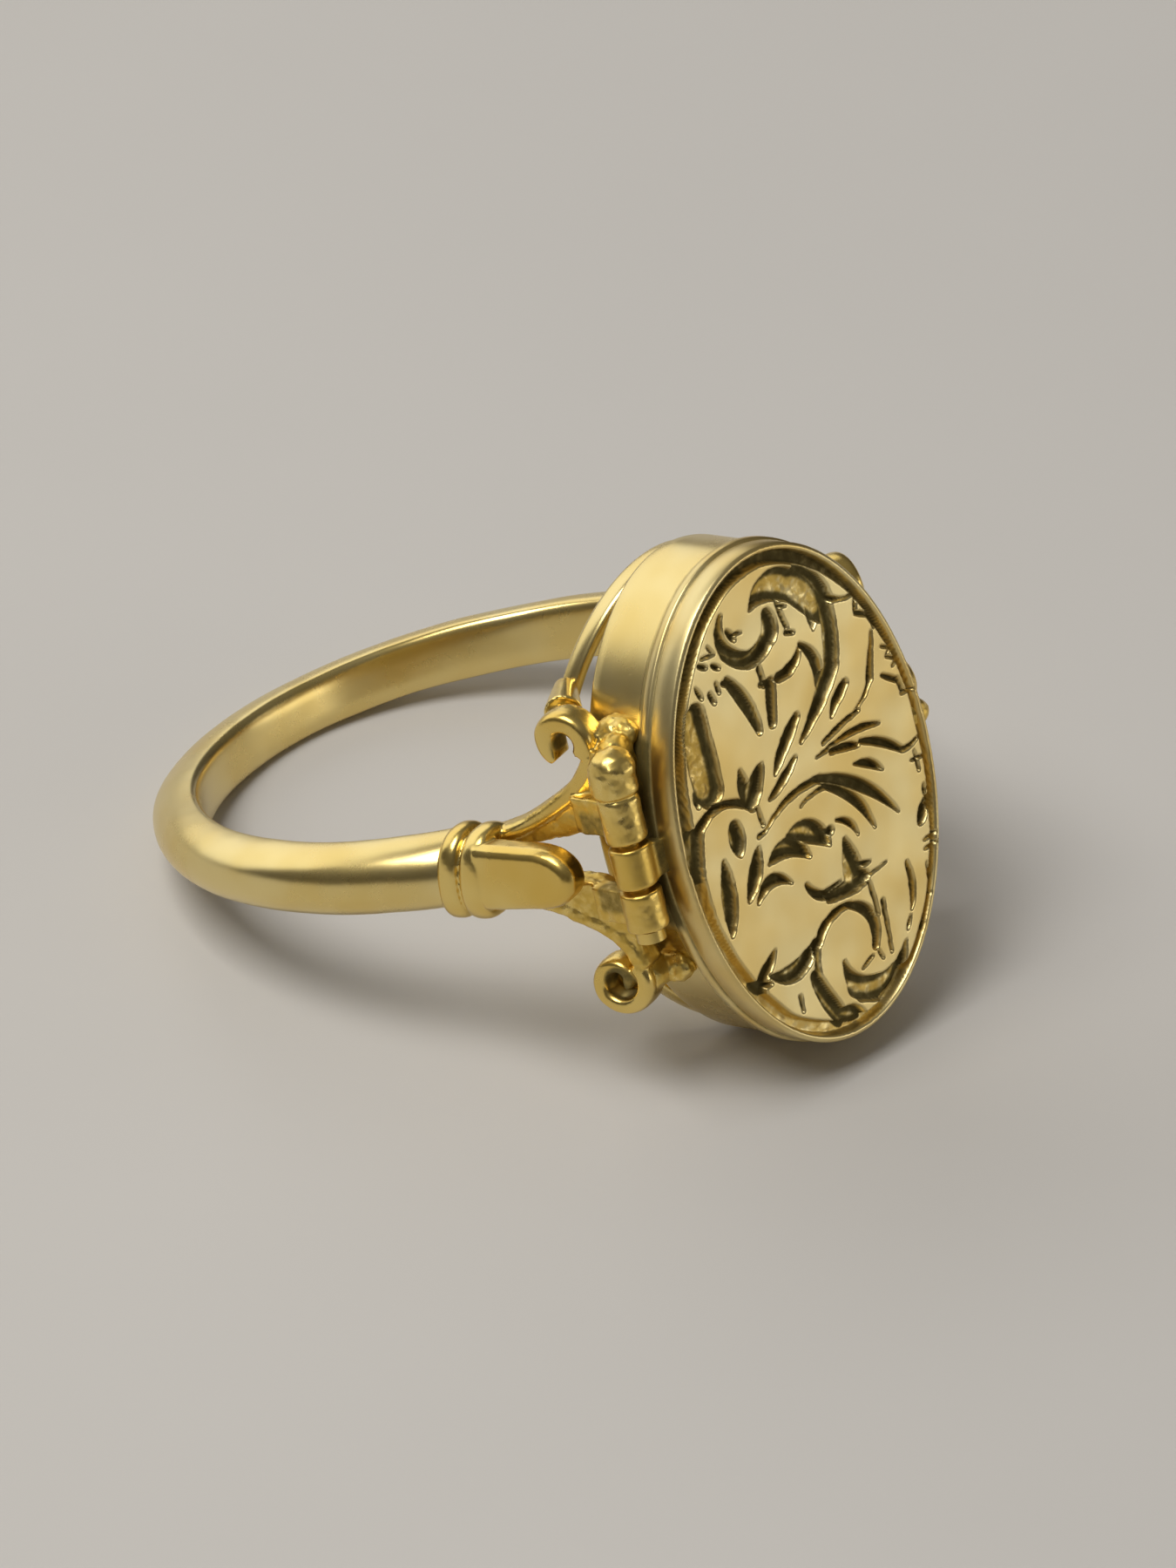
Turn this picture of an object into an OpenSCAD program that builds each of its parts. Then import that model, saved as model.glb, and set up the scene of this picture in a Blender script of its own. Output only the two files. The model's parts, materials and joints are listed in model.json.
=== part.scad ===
// A gold poison ring: a D-section band, two forked shoulders with scrolls, a gallery strip,
// an oval box and a hinged lid cut with acanthus scrolls. It lies on its side, as it comes to rest.
//
// Working frame, before it is laid down: X runs from the finger hole's centre to the lid's face,
// Z runs along the finger, and the hinge is on the -Y side.

/* [Finger hole] */
// Radius of the finger hole
hole_r = 8.75; // [8.5:0.05:9]

/* [Band] */
// Thickness of the band, from the hole to the crown
band_t = 1.55; // [1.4:0.05:1.8]
// Width of the band at the back
band_w_back = 1.65; // [1.5:0.05:1.9]
// Width of the band where it meets a collar
band_w_front = 2.2; // [2:0.05:2.5]
// Radius that softens the band's inner edges
band_edge = 0.3; // [0.2:0.05:0.4]

/* [Shoulders] */
// Angle of a collar's centre from the lid's direction
collar_angle = 47.8; // [46:0.2:50]
// Distance of a collar's centre from the hole's centre
collar_out = 9.7; // [9.6:0.05:9.8]
// How far a shoulder leans in towards the box
shoulder_lean = 11; // [8:1:14]
// Height of a collar along the finger
collar_h = 2.85; // [2.7:0.05:3]
// Depth of a collar across the band
collar_d = 2.3; // [2.2:0.05:2.5]
// Length of each of a collar's two reeds
reed_l = [0.75, 0.85]; // [0.6:0.05:1]
// Length of the flat tongue beyond a collar
tongue_l = 3.2; // [2.9:0.05:3.4]
// Height of the tongue
tongue_h = 1.95; // [1.8:0.05:2.1]
// Thickness of the tongue
tongue_t = 0.9; // [0.8:0.05:1.1]
// Where a scroll's centre lies towards the lid
scroll_x = 10; // [9.8:0.05:10.2]
// Distance of a scroll's centre from the middle
scroll_y = 5.6; // [5.4:0.05:5.7]
// Height of a scroll's centre above or below the middle
scroll_z = 3.78; // [3.6:0.02:3.9]
// Outer radius of a scroll
scroll_r = 1; // [0.9:0.02:1.05]
// Thickness of the strap that a scroll is rolled from
strap_t = 0.4; // [0.3:0.02:0.4]
// Width of that strap
strap_w = 1; // [0.9:0.05:1.1]
// How far round the upper and the lower scrolls are rolled, in degrees
roll_turn = [240, 365]; // [220:5:370]

/* [Gallery] */
// Inner radius of the gallery strip, which follows the finger
gallery_r = 8.9; // [8.85:0.05:9]
// Height of the gallery strip at its two ends
gallery_h = 0.76; // [0.7:0.02:0.8]
// Radius of the strip's upper edge, which slims it towards the shoulders
gallery_top_r = 8; // [7.8:0.1:8.4]
// Thickness of the gallery strip
gallery_t = 0.36; // [0.3:0.02:0.5]
// How far the gallery strip stands inside the lid's outline
gallery_inset = 0.33; // [0.3:0.01:0.4]
// How much the two strips are worn flat at the box's ends, where the ring rests
gallery_wear = 0.06; // [0.04:0.01:0.1]

/* [Box and lid] */
// Half the lid's length, along the finger
lid_half_l = 7.65; // [7.4:0.05:7.9]
// Half the lid's width
lid_half_w = 5.2; // [5.1:0.05:5.3]
// Distance of the lid's face from the hole's centre
face_x = 13.1; // [13:0.05:13.3]
// Thickness of the lid
lid_t = 1.2; // [1.1:0.05:1.3]
// Underside of the box's floor, from the hole's centre
floor_x = 9.55; // [9.5:0.01:9.6]
// Thickness of the box's floor
floor_t = 0.6; // [0.5:0.05:0.8]
// Thickness of the box's wall
wall_t = 0.7; // [0.6:0.05:0.9]
// How far the box's wall stands inside the lid's outline
wall_inset = 0.15; // [0.1:0.01:0.2]
// Gap between the closed lid and the box
seam_gap = 0.05; // [0.04:0.01:0.08]
// Height of the flange round the lid's lower edge
flange_h = 0.3; // [0.25:0.05:0.4]
// How far the flange stands out from the lid's side
flange_out = 0.1; // [0.06:0.02:0.12]
// Width of the raised rim round the face
rim_w = 0.15; // [0.12:0.01:0.2]
// Width of the groove inside the rim
groove_w = 0.32; // [0.25:0.01:0.4]
// Depth of the groove
groove_d = 0.36; // [0.3:0.02:0.5]
// Depth of the scroll cuts
cut_d = 0.34; // [0.3:0.02:0.45]

/* [Hinge] */
// Hinge axis, towards the lid and out from the middle
hinge_x = 11.9; // [11.85:0.01:11.95]
// Distance of the hinge axis from the middle
hinge_y = 5.95; // [5.93:0.01:6]
// Radius of the hinge pin
pin_r = 0.3; // [0.28:0.01:0.32]
// Clearance of the pin in the box's knuckles, and in the lid's
pin_clear = [0.02, 0.04]; // [0.02:0.01:0.06]
// Radius of the end knuckle, and of the other three
knuckle_r = [0.56, 0.61]; // [0.48:0.01:0.62]
// Gap between neighbouring knuckles
knuckle_gap = 0.08; // [0.06:0.01:0.12]
// How far the lid opens
lid_open = 0; // [0:5:110]

/* [Hidden] */
$fn = 64;

// Sides of the drawn ovals, and points along the band's crown, a reed and a scroll cut
OVAL_SIDES = 72;
DOME_POINTS = 10;
REED_POINTS = 4;
CUT_STEPS = 5;
// Metal left inside the finger hole until it is bored, and the depth of a reed's crease
bore_skin = 0.1;
reed_dip = 0.3;
// How far neighbouring solids of one piece run into each other
eps = 0.02;

seam_x = face_x - lid_t;
rest_drop = lid_half_l - gallery_inset - gallery_wear;

// Height at which each strip ends on a scroll, and how far out that is
strip_end_z = 3.95;
// Radii of the cap on a strip's end, of the solder between a scroll and the box, and of its two runs
cap_r = 0.45;
solder_r = 0.62;
solder_run_r = [0.5, 0.4];
// How far the arms start behind a collar's centre and inside it, and how far a tongue is raised
arm_root = [0.6, 0.31];
tongue_rise = 0.1;
// How deep a tongue starts inside the second reed
tongue_root = 0.15;

// The four knuckles' stretches along the hinge axis, top to bottom: start, end
K_END = [2.4, 3.95];
K_UPPER = [0.92, 2.4];
K_LID = [-0.46, 0.92];
K_LOWER = [-1.75, -0.46];
PIN_Z = [-2.1, 3.5];
// Stretches of the legs that stand on the arms, and of those tied to the box's wall
LEGS_ON_ARMS = [[1.1, 2.25], [-1.7, -0.6]];
LEGS_ON_WALL = [[1.3, 3.5], [-1.7, -0.7]];

// The resting plane touches the band's lower back edge and the gallery strip's lower end
back_edge = [-(hole_r + band_t * 0.62), -band_w_back / 2 * 0.83];
front_edge = [gallery_r, -rest_drop];
tilt = atan2(back_edge[1] - front_edge[1], front_edge[0] - back_edge[0]);
floor_z = front_edge[0] * sin(tilt) + front_edge[1] * cos(tilt);
x_high = face_x * cos(tilt) + (lid_half_l - flange_out) * sin(tilt);
x_low = -(hole_r + band_t) * cos(tilt);
x_mid = (x_high + x_low) / 2;

// Edges of the arms' straps and webs: distance along the arm, height from the middle.
ARM_UPPER = [
    [0, -0.1], [2, 0.6], [3.4, 0.85], [4.1, 1], [4.7, 1.6], [5.1, 2.4], [5.3, 3.3],
    [4.8, 3.15], [4.1, 2.5], [2.5, 1.6], [1.3, 1.15], [0, 0.95],
];
ARM_LOWER = [
    [0, -0.1], [2.5, 0.35], [4.1, 0.5], [4.85, 0.95], [5.25, 1.9], [5.3, 3.3],
    [4.85, 3], [4.45, 2.4], [3.5, 1.85], [2.7, 1.45], [1.3, 1.1], [0, 0.95],
];

// The scroll cuts, charted on a face of 4.86 by 7.35 half sizes, across and along the finger.
CHART = [4.86, 7.35];
// How much the chart leans: along the finger, for each step across.
CHART_LEAN = -0.0355;
// Columns: from across, from along, to across, to along, bow to the left, width at the start,
// in the middle and at the end.
CUTS = [
    // crown of the large leaf, its tip and the stem below it
    [-0.45, 5.68, 1.3, 5.75, 0.42, 0.06, 0.75, 0.75],
    [1.15, 5.85, 2.05, 4.8, 0.12, 0.7, 0.85, 0.6],
    [1.75, 5, 1.6, 4.28, 0, 0.45, 0.28, 0.06],
    [2.25, 5, 3.1, 4.68, -0.05, 0.3, 0.14, 0.08],
    [2.22, 4.9, 1.9, 2.95, 0.08, 0.38, 0.42, 0.4],
    [1.98, 3.15, 0.25, 1.45, 0.08, 0.42, 0.35, 0.1],
    // rolled leaf on the hinge side
    [-1.5, 5.92, -1.57, 4.8, -0.2, 0.12, 0.3, 0.35],
    [-1.62, 4.95, 0.12, 4.9, -0.5, 0.34, 0.38, 0.4],
    [0.05, 4.75, 0.1, 5.38, -0.07, 0.42, 0.4, 0.25],
    // small leaves under the crown
    [0, 3.5, 1, 4.05, -0.18, 0.2, 0.25, 0.08],
    [1, 4.1, 1.35, 2.75, 0.22, 0.08, 0.28, 0.2],
    [-1.75, 4.1, -1.12, 2.3, 0.05, 0.18, 0.42, 0.12],
    [-0.35, 3.5, -0.55, 2.5, 0, 0.28, 0.3, 0.26],
    // wide channel on the hinge side
    [-3.15, 3.65, -3.25, 1.35, 0, 0.5, 1.05, 0.75],
    // arch and leaves below it
    [-2.25, 0.6, -4, 0.5, -0.3, 0.2, 0.18, 0.3],
    [-3.95, 0.6, -4.25, -1, -0.25, 0.25, 0.5, 0.12],
    [-3.35, -0.7, -3.68, -2.8, 0.05, 0.12, 0.42, 0.1],
    [-2.75, 0.05, -2.75, -0.75, 0, 0.35, 0.4, 0.1],
    [-2.1, -0.8, -2.85, -2.1, 0.05, 0.1, 0.36, 0.1],
    [-2.1, 1.5, -2.1, 0.55, 0, 0.12, 0.32, 0.25],
    [-1.3, 1.4, -1.95, 0.45, -0.05, 0.1, 0.42, 0.3],
    [0.25, 2.15, -0.9, 1, -0.05, 0.16, 0.3, 0.1],
    [-0.1, 1.1, -1.3, 0.35, 0.05, 0.12, 0.22, 0.1],
    [2.22, 2.4, 1.5, 1.7, -0.05, 0.2, 0.25, 0.08],
    // long veins and the fan of arches
    [3.6, 3.45, 3.15, 2.2, 0.06, 0.08, 0.14, 0.2],
    [2.5, 1.5, 1, 1.1, -0.03, 0.08, 0.12, 0.1],
    [1.5, 0.95, 3.1, 0.85, 0.1, 0.08, 0.16, 0.08],
    [2.3, 0.62, 3.75, -0.2, 0.1, 0.1, 0.2, 0.14],
    [1.9, 0.1, 2.85, -0.45, 0.1, 0.06, 0.2, 0.06],
    [-1.65, -0.4, 0.6, 0.2, 0.22, 0.08, 0.16, 0.18],
    [0.45, 0.22, 3.05, -1.8, 0.3, 0.18, 0.28, 0.06],
    [0.65, -0.05, 2.1, -1.9, 0.28, 0.12, 0.25, 0.06],
    // lobed leaf inside the fan and the figure beside it
    [-1.85, -1.4, -0.4, -1.75, 0.38, 0.08, 0.42, 0.1],
    [-0.95, -0.95, 0.4, -1.75, 0.28, 0.2, 0.5, 0.06],
    [-2.55, -2.3, -1.25, -2.2, 0.38, 0.08, 0.28, 0.06],
    [-0.75, -2.5, -0.05, -3.05, -0.12, 0.12, 0.2, 0.2],
    [0.95, -1.8, 0.95, -3.1, 0, 0.12, 0.5, 0.6],
    [-0.15, -3.2, 1.3, -3.2, 0, 0.15, 0.35, 0.3],
    // rolled leaf at the foot
    [-0.8, -4.2, 0.6, -3.62, 0.22, 0.25, 0.2, 0.14],
    [0.45, -3.62, 1.15, -5.1, 0.42, 0.14, 0.28, 0.2],
    [-0.85, -4.15, -1.2, -5.25, 0, 0.22, 0.16, 0.3],
    [-1.2, -5.1, -0.5, -6.75, -0.08, 0.3, 0.42, 0.35],
    [-0.55, -6.55, 0.2, -6.85, 0.05, 0.3, 0.42, 0.15],
    [-0.08, -5.1, 0.35, -6.15, -0.12, 0.1, 0.32, 0.5],
    [0.1, -5.95, 2.25, -5.4, -0.62, 0.45, 0.58, 0.06],
    [-2.7, -4.45, -0.92, -4.1, -0.33, 0.1, 0.5, 0.12],
    [-2.38, -3.8, -3.1, -4.45, 0, 0.08, 0.28, 0.3],
    [2.9, -3.3, 2.7, -4.65, 0.12, 0.1, 0.18, 0.06],
    [4.15, -1.8, 3.75, -2.4, 0.06, 0.1, 0.28, 0.2],
];

// An oval outline; a short flat lies across each end of its long axis.
function oval(half_l, half_w) =
    [for (i = [0:OVAL_SIDES - 1]) let (a = (i + 0.5) * 360 / OVAL_SIDES) [half_w * cos(a), half_l * sin(a)]];

// Value at fraction t between three values at 0, a half and 1.
function through(v0, vm, v1, t) = v0 * (1 - t) * (1 - 2 * t) + vm * 4 * t * (1 - t) + v1 * t * (2 * t - 1);

// Outline of one scroll cut, whose middle line bows and whose width changes along it.
function cut_outline(c) =
    let (
        from = [c[0], c[1] + c[0] * CHART_LEAN],
        to = [c[2], c[3] + c[2] * CHART_LEAN],
        run = to - from,
        side = [-run[1], run[0]] / norm(run),
        mid = [
            for (i = [0:CUT_STEPS])
                let (t = i / CUT_STEPS)
                    from + run * t + side * c[4] * 4 * t * (1 - t)
        ],
        half = [for (i = [0:CUT_STEPS]) through(c[5], c[6], c[7], i / CUT_STEPS) / 2],
        lean = [
            for (i = [0:CUT_STEPS])
                let (t = i / CUT_STEPS, d = run + side * c[4] * (4 - 8 * t))
                    [-d[1], d[0]] / norm(d)
        ]
    )
    concat(
        [for (i = [0:CUT_STEPS]) mid[i] + lean[i] * half[i]],
        [for (i = [CUT_STEPS:-1:0]) mid[i] - lean[i] * half[i]]
    );

// The band's section, before its sides taper: a crowned outside and softened inner edges.
function band_section(half_w) =
    let (crown = band_t - band_edge, inner = hole_r - bore_skin)
    concat(
        [[inner, -half_w + band_edge]],
        [
            for (i = [0:DOME_POINTS])
                let (a = -90 + i * 180 / DOME_POINTS)
                    [hole_r + band_edge + crown * cos(a), half_w * sin(a)]
        ],
        [[inner, half_w - band_edge]]
    );

// A reeded collar's radius at a distance along it: two humps with a crease between them.
function reed_profile() =
    [for (r = [0, 1], i = [0:REED_POINTS])
        let (t = i / REED_POINTS, from = r == 0 ? -reed_l[0] : 0)
        [collar_h / 2 - reed_dip * pow(2 * t - 1, 2), from + reed_l[r] * t]];

// Lays the ring down on the floor, from its working frame.
module lay_down() {
    translate([-x_mid, 0, -floor_z])
        rotate([0, -tilt, 0])
            children();
}

// Draws a flat outline in the across-along plane, from one distance to another towards the lid.
module slab(x_from, x_to) {
    translate([x_from, 0, 0])
        rotate([90, 0, 90])
            linear_extrude(height = x_to - x_from)
                children();
}

// A straight cylinder along the finger.
module post(radius, z_from, z_to) {
    translate([hinge_x, -hinge_y, z_from])
        cylinder(r = radius, h = z_to - z_from);
}

module band() {
    back_x = hole_r + band_t + 1;
    front_x = collar_out * cos(collar_angle);
    taper = (band_w_front - band_w_back) / (front_x + hole_r + band_t);
    back_half = band_w_back / 2 - taper / 2;
    front_half = band_w_front / 2 + taper / 2;
    intersection() {
        rotate([0, 0, collar_angle])
            rotate_extrude(angle = 360 - 2 * collar_angle, $fn = 128)
                polygon(band_section(band_w_front / 2 + 0.08));
        rotate([90, 0, 0])
            linear_extrude(height = 3 * hole_r, center = true)
                polygon([
                    [-back_x, -back_half], [front_x + 1, -front_half],
                    [front_x + 1, front_half], [-back_x, back_half],
                ]);
    }
}

// Two reeds round the shoulder's own line.
module collar() {
    scale([1, collar_d / collar_h, 1])
        rotate([0, 90, 0])
            rotate_extrude()
                polygon(concat([[0, -reed_l[0]]], reed_profile(), [[0, reed_l[1]]]));
}

// The flat tongue: straight beside the collar, half an oval at its tip.
module tongue() {
    straight = tongue_l * 0.3;
    outline = concat(
        [[0, -tongue_h / 2]],
        [for (a = [-90:15:90]) [straight + (tongue_l - straight) * cos(a), tongue_h / 2 * sin(a)]],
        [[0, tongue_h / 2]]
    );
    translate([0, -0.1, 0])
        rotate([90, 0, 0])
            linear_extrude(height = tongue_t)
                polygon(outline);
}

// Outer radius of a scroll's strap at an angle along its roll.
function roll_r(a) = scroll_r - max(0, a - 150) * 0.62 / 235;

// One arm and its scroll, flat in the plane of its run and above the middle.
module arm(edges, reach, turn) {
    centre = [reach, scroll_z];
    angles = [for (a = [-35:20:turn]) a];
    roll = concat(
        [for (a = angles) centre + roll_r(a) * [cos(a), sin(a)]],
        [
            for (i = [len(angles) - 1:-1:0])
                let (a = angles[i])
                    centre + (roll_r(a) - strap_t) * [cos(a), sin(a)]
        ]
    );
    rotate([90, 0, 0])
        linear_extrude(height = strap_w, center = true)
            union() {
                polygon(roll);
                polygon(edges);
            }
}

// A whole shoulder on the hinge side; the catch side is its mirror.
module shoulder() {
    collar_x = collar_out * cos(collar_angle);
    collar_y = collar_out * sin(collar_angle);
    root = [collar_x, collar_y] - arm_root;
    run = [scroll_x, scroll_y] - root;
    translate([collar_x, -collar_y, 0])
        rotate([0, 0, shoulder_lean]) {
            collar();
            translate([reed_l[1] - tongue_root, 0, tongue_rise])
                tongue();
        }
    translate([root[0], -root[1], 0])
        rotate([0, 0, atan2(-run[1], run[0])]) {
            arm(ARM_UPPER, norm(run), roll_turn[0]);
            mirror([0, 0, 1])
                arm(ARM_LOWER, norm(run), roll_turn[1]);
        }
}

// The gallery: a slim strip over each end of the box, which follows the finger's curve.
module gallery() {
    outer_l = lid_half_l - gallery_inset;
    outer_w = lid_half_w - gallery_inset;
    intersection() {
        slab(6, floor_x + 0.3)
            difference() {
                intersection() {
                    polygon(oval(outer_l, outer_w));
                    square([3 * lid_half_w, 2 * (outer_l - gallery_wear)], center = true);
                }
                polygon(oval(outer_l - gallery_t, outer_w - gallery_t));
                square([3 * lid_half_w, 2 * strip_end_z], center = true);
            }
        difference() {
            translate([gallery_r + gallery_h - gallery_top_r, 0, 0])
                cylinder(r = gallery_top_r, h = 3 * lid_half_l, center = true, $fn = 128);
            cylinder(r = gallery_r, h = 4 * lid_half_l, center = true, $fn = 128);
        }
    }
}

module box() {
    difference() {
        slab(floor_x, seam_x - seam_gap)
            polygon(oval(lid_half_l - wall_inset, lid_half_w - wall_inset));
        slab(floor_x + floor_t, seam_x + 1)
            polygon(oval(lid_half_l - wall_inset - wall_t, lid_half_w - wall_inset - wall_t));
    }
}

// The box's three knuckles, each on a leg that stands on an arm and is tied to the box's wall.
module box_knuckles() {
    half_gap = knuckle_gap / 2;
    post(knuckle_r[0], K_END[0] - eps, K_END[1] - 0.3);
    translate([hinge_x, -hinge_y, K_END[1] - 0.3])
        sphere(r = knuckle_r[0]);
    post(knuckle_r[1], K_UPPER[0] + half_gap, K_UPPER[1]);
    post(knuckle_r[1], K_LOWER[0], K_LOWER[1] - half_gap);
    for (z = LEGS_ON_ARMS)
        translate([scroll_x + 0.1, -hinge_y - 0.3, z[0]])
            cube([hinge_x - scroll_x - 0.3, 0.7, z[1] - z[0]]);
    for (z = LEGS_ON_WALL)
        translate([hinge_x - 0.95, -hinge_y + 0.05, z[0]])
            cube([0.75, 1.3, z[1] - z[0]]);
}

// A round rod between two points.
module rod(from, to, radius) {
    run = to - from;
    translate(from)
        rotate([0, acos(run[2] / norm(run)), atan2(run[1], run[0])])
            cylinder(r = radius, h = norm(run));
}

// The lumps of solder that join each scroll to the box's wall and to the strip's end.
module solder() {
    for (side = [-1, 1], up = [-1, 1]) {
        wall = [scroll_x + 0.75, side * 3.9, up * (scroll_z + 0.4)];
        rod([scroll_x + 0.75, side * scroll_y, up * (scroll_z + 0.4)], wall, solder_run_r[0]);
        translate(wall)
            sphere(r = solder_r);
        strip = [8.2, side * strip_end_z, up * (strip_end_z + 0.25)];
        rod([scroll_x - 0.6, side * (scroll_y - 0.2), up * (scroll_z + 0.35)], strip, solder_run_r[1]);
        translate(strip)
            cylinder(r = cap_r, h = 2 * cap_r, center = true);
    }
}

module ring_body() color("goldenrod") lay_down() {
    difference() {
        union() {
            band();
            shoulder();
            mirror([0, 1, 0])
                shoulder();
            gallery();
            box();
            box_knuckles();
            solder();
        }
        cylinder(r = hole_r, h = 8, center = true, $fn = 128);
        post(pin_r + pin_clear[0], PIN_Z[0] - 1, PIN_Z[1] + 0.05);
        slab(floor_x + floor_t, seam_x + 1)
            polygon(oval(lid_half_l - wall_inset - wall_t, lid_half_w - wall_inset - wall_t));
    }
}

module lid_plate() {
    body_l = lid_half_l - flange_out;
    body_w = lid_half_w - flange_out;
    difference() {
        union() {
            slab(seam_x, seam_x + flange_h)
                polygon(oval(lid_half_l, lid_half_w));
            slab(seam_x + flange_h - eps, face_x)
                polygon(oval(body_l, body_w));
        }
        slab(face_x - groove_d, face_x + 1)
            difference() {
                polygon(oval(body_l - rim_w, body_w - rim_w));
                polygon(oval(body_l - rim_w - groove_w, body_w - rim_w - groove_w));
            }
        slab(face_x - cut_d, face_x + 1)
            scale([lid_half_w / CHART[0], lid_half_l / CHART[1]])
                for (c = CUTS)
                    polygon(cut_outline(c));
    }
}

// The lid's knuckle, the leaf that ties it to the lid's side, and the thumb catch opposite.
module lid_knuckle() {
    half_gap = knuckle_gap / 2;
    z_from = K_LID[0] + half_gap;
    z_to = K_LID[1] - half_gap;
    post(knuckle_r[1], z_from, z_to);
    translate([hinge_x + 0.02, -hinge_y, z_from + 0.1])
        cube([0.45, hinge_y - lid_half_w + 0.3, z_to - z_from - 0.2]);
}

module thumb_catch() {
    translate([face_x - 0.62, lid_half_w - 0.3, 0.3])
        rotate([0, 90, 0])
            scale([1, 1.6, 1])
                cylinder(r = 0.42, h = 0.5);
}

module lid() color("gold") lay_down()
    translate([hinge_x, -hinge_y, 0])
        rotate([0, 0, lid_open])
            translate([-hinge_x, hinge_y, 0])
                difference() {
                    union() {
                        lid_plate();
                        lid_knuckle();
                        thumb_catch();
                    }
                    post(pin_r + pin_clear[1], -3, 3);
                }

module hinge_pin() color("darkgoldenrod") lay_down() {
    post(pin_r, PIN_Z[0], PIN_Z[1]);
    post(pin_r + 0.13, PIN_Z[0] - 0.02, K_LOWER[0] - 0.04);
}

ring_body();
lid();
hinge_pin();
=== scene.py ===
"""Looks of a gold poison ring: its metal skins, engraved lid, finishes, studio and camera.

Shapes are worked out in the ring's own space, in millimetres: X runs from the finger hole's centre
to the lid's face, Z runs along the finger, and the hinge is on the -Y side.
"""
import json
import logging
import math
from dataclasses import dataclass, field
from enum import Enum
from typing import Callable, Iterable, NamedTuple, Sequence, Union

import bpy
import numpy as np
from mathutils import Matrix, Vector, noise
from mathutils.kdtree import KDTree


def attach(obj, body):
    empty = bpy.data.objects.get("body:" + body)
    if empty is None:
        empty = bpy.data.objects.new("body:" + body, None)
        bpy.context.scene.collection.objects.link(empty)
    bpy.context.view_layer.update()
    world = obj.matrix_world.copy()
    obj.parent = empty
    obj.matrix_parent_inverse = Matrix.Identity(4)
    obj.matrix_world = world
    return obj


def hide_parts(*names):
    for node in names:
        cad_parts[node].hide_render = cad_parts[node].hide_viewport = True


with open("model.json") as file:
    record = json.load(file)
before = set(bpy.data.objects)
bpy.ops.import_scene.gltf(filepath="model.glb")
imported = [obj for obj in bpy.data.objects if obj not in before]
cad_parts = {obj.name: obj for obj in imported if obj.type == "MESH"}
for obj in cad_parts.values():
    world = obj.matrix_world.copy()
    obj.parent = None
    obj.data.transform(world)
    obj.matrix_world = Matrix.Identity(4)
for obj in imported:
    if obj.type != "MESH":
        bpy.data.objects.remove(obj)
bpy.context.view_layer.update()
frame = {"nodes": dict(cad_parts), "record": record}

MM = 0.001
RING = "ring"
LID = "lid_leaf"

log = logging.getLogger("poison_ring")


class Surface(Enum):
    """How worn or rough a stretch of metal is."""

    POLISHED = 0.0
    SOFT = 0.45
    CAST = 1.0


class Stroke(NamedTuple):
    """One engraved cut: its ends, its bow to the left and its widths, in chart units."""

    u0: float
    v0: float
    u1: float
    v1: float
    bow: float
    w0: float
    wm: float
    w1: float


@dataclass(frozen=True)
class RingSpace:
    """The ring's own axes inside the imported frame."""

    matrix: Matrix

    @classmethod
    def from_joint(cls, hinge_x: float, hinge_y: float) -> "RingSpace":
        """Works the axes out from the lid's hinge.

        Args:
            hinge_x: distance of the hinge axis from the finger hole's centre towards the lid, in mm.
            hinge_y: distance of the hinge axis out from the middle, in mm.

        Returns:
            The space whose matrix takes ring millimetres to frame metres.
        """
        joint = next(j for j in frame["record"]["behaviour"]["joints"] if j["name"] == "lid_hinge")
        z_axis = -Vector(joint["axis"]).normalized()
        y_axis = Vector((0.0, 1.0, 0.0))
        x_axis = y_axis.cross(z_axis)
        origin = Vector(joint["pos_m"]) - x_axis * hinge_x * MM + y_axis * hinge_y * MM
        turn = Matrix((x_axis, y_axis, z_axis)).transposed()
        return cls(Matrix.Translation(origin) @ (turn * MM).to_4x4())

    def points(self, verts: np.ndarray) -> np.ndarray:
        """Takes points in ring millimetres to frame metres.

        Args:
            verts: an array of N by 3 ring points.

        Returns:
            The same points in metres.
        """
        m = np.array(self.matrix)
        return verts @ m[:3, :3].T + m[:3, 3]

    def point(self, x: float, y: float, z: float) -> Vector:
        """One ring point in metres."""
        return self.matrix @ Vector((x, y, z))

    def direction(self, x: float, y: float, z: float) -> Vector:
        """One ring direction as a unit vector of the frame."""
        return (self.matrix.to_3x3() @ Vector((x, y, z))).normalized()


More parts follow.
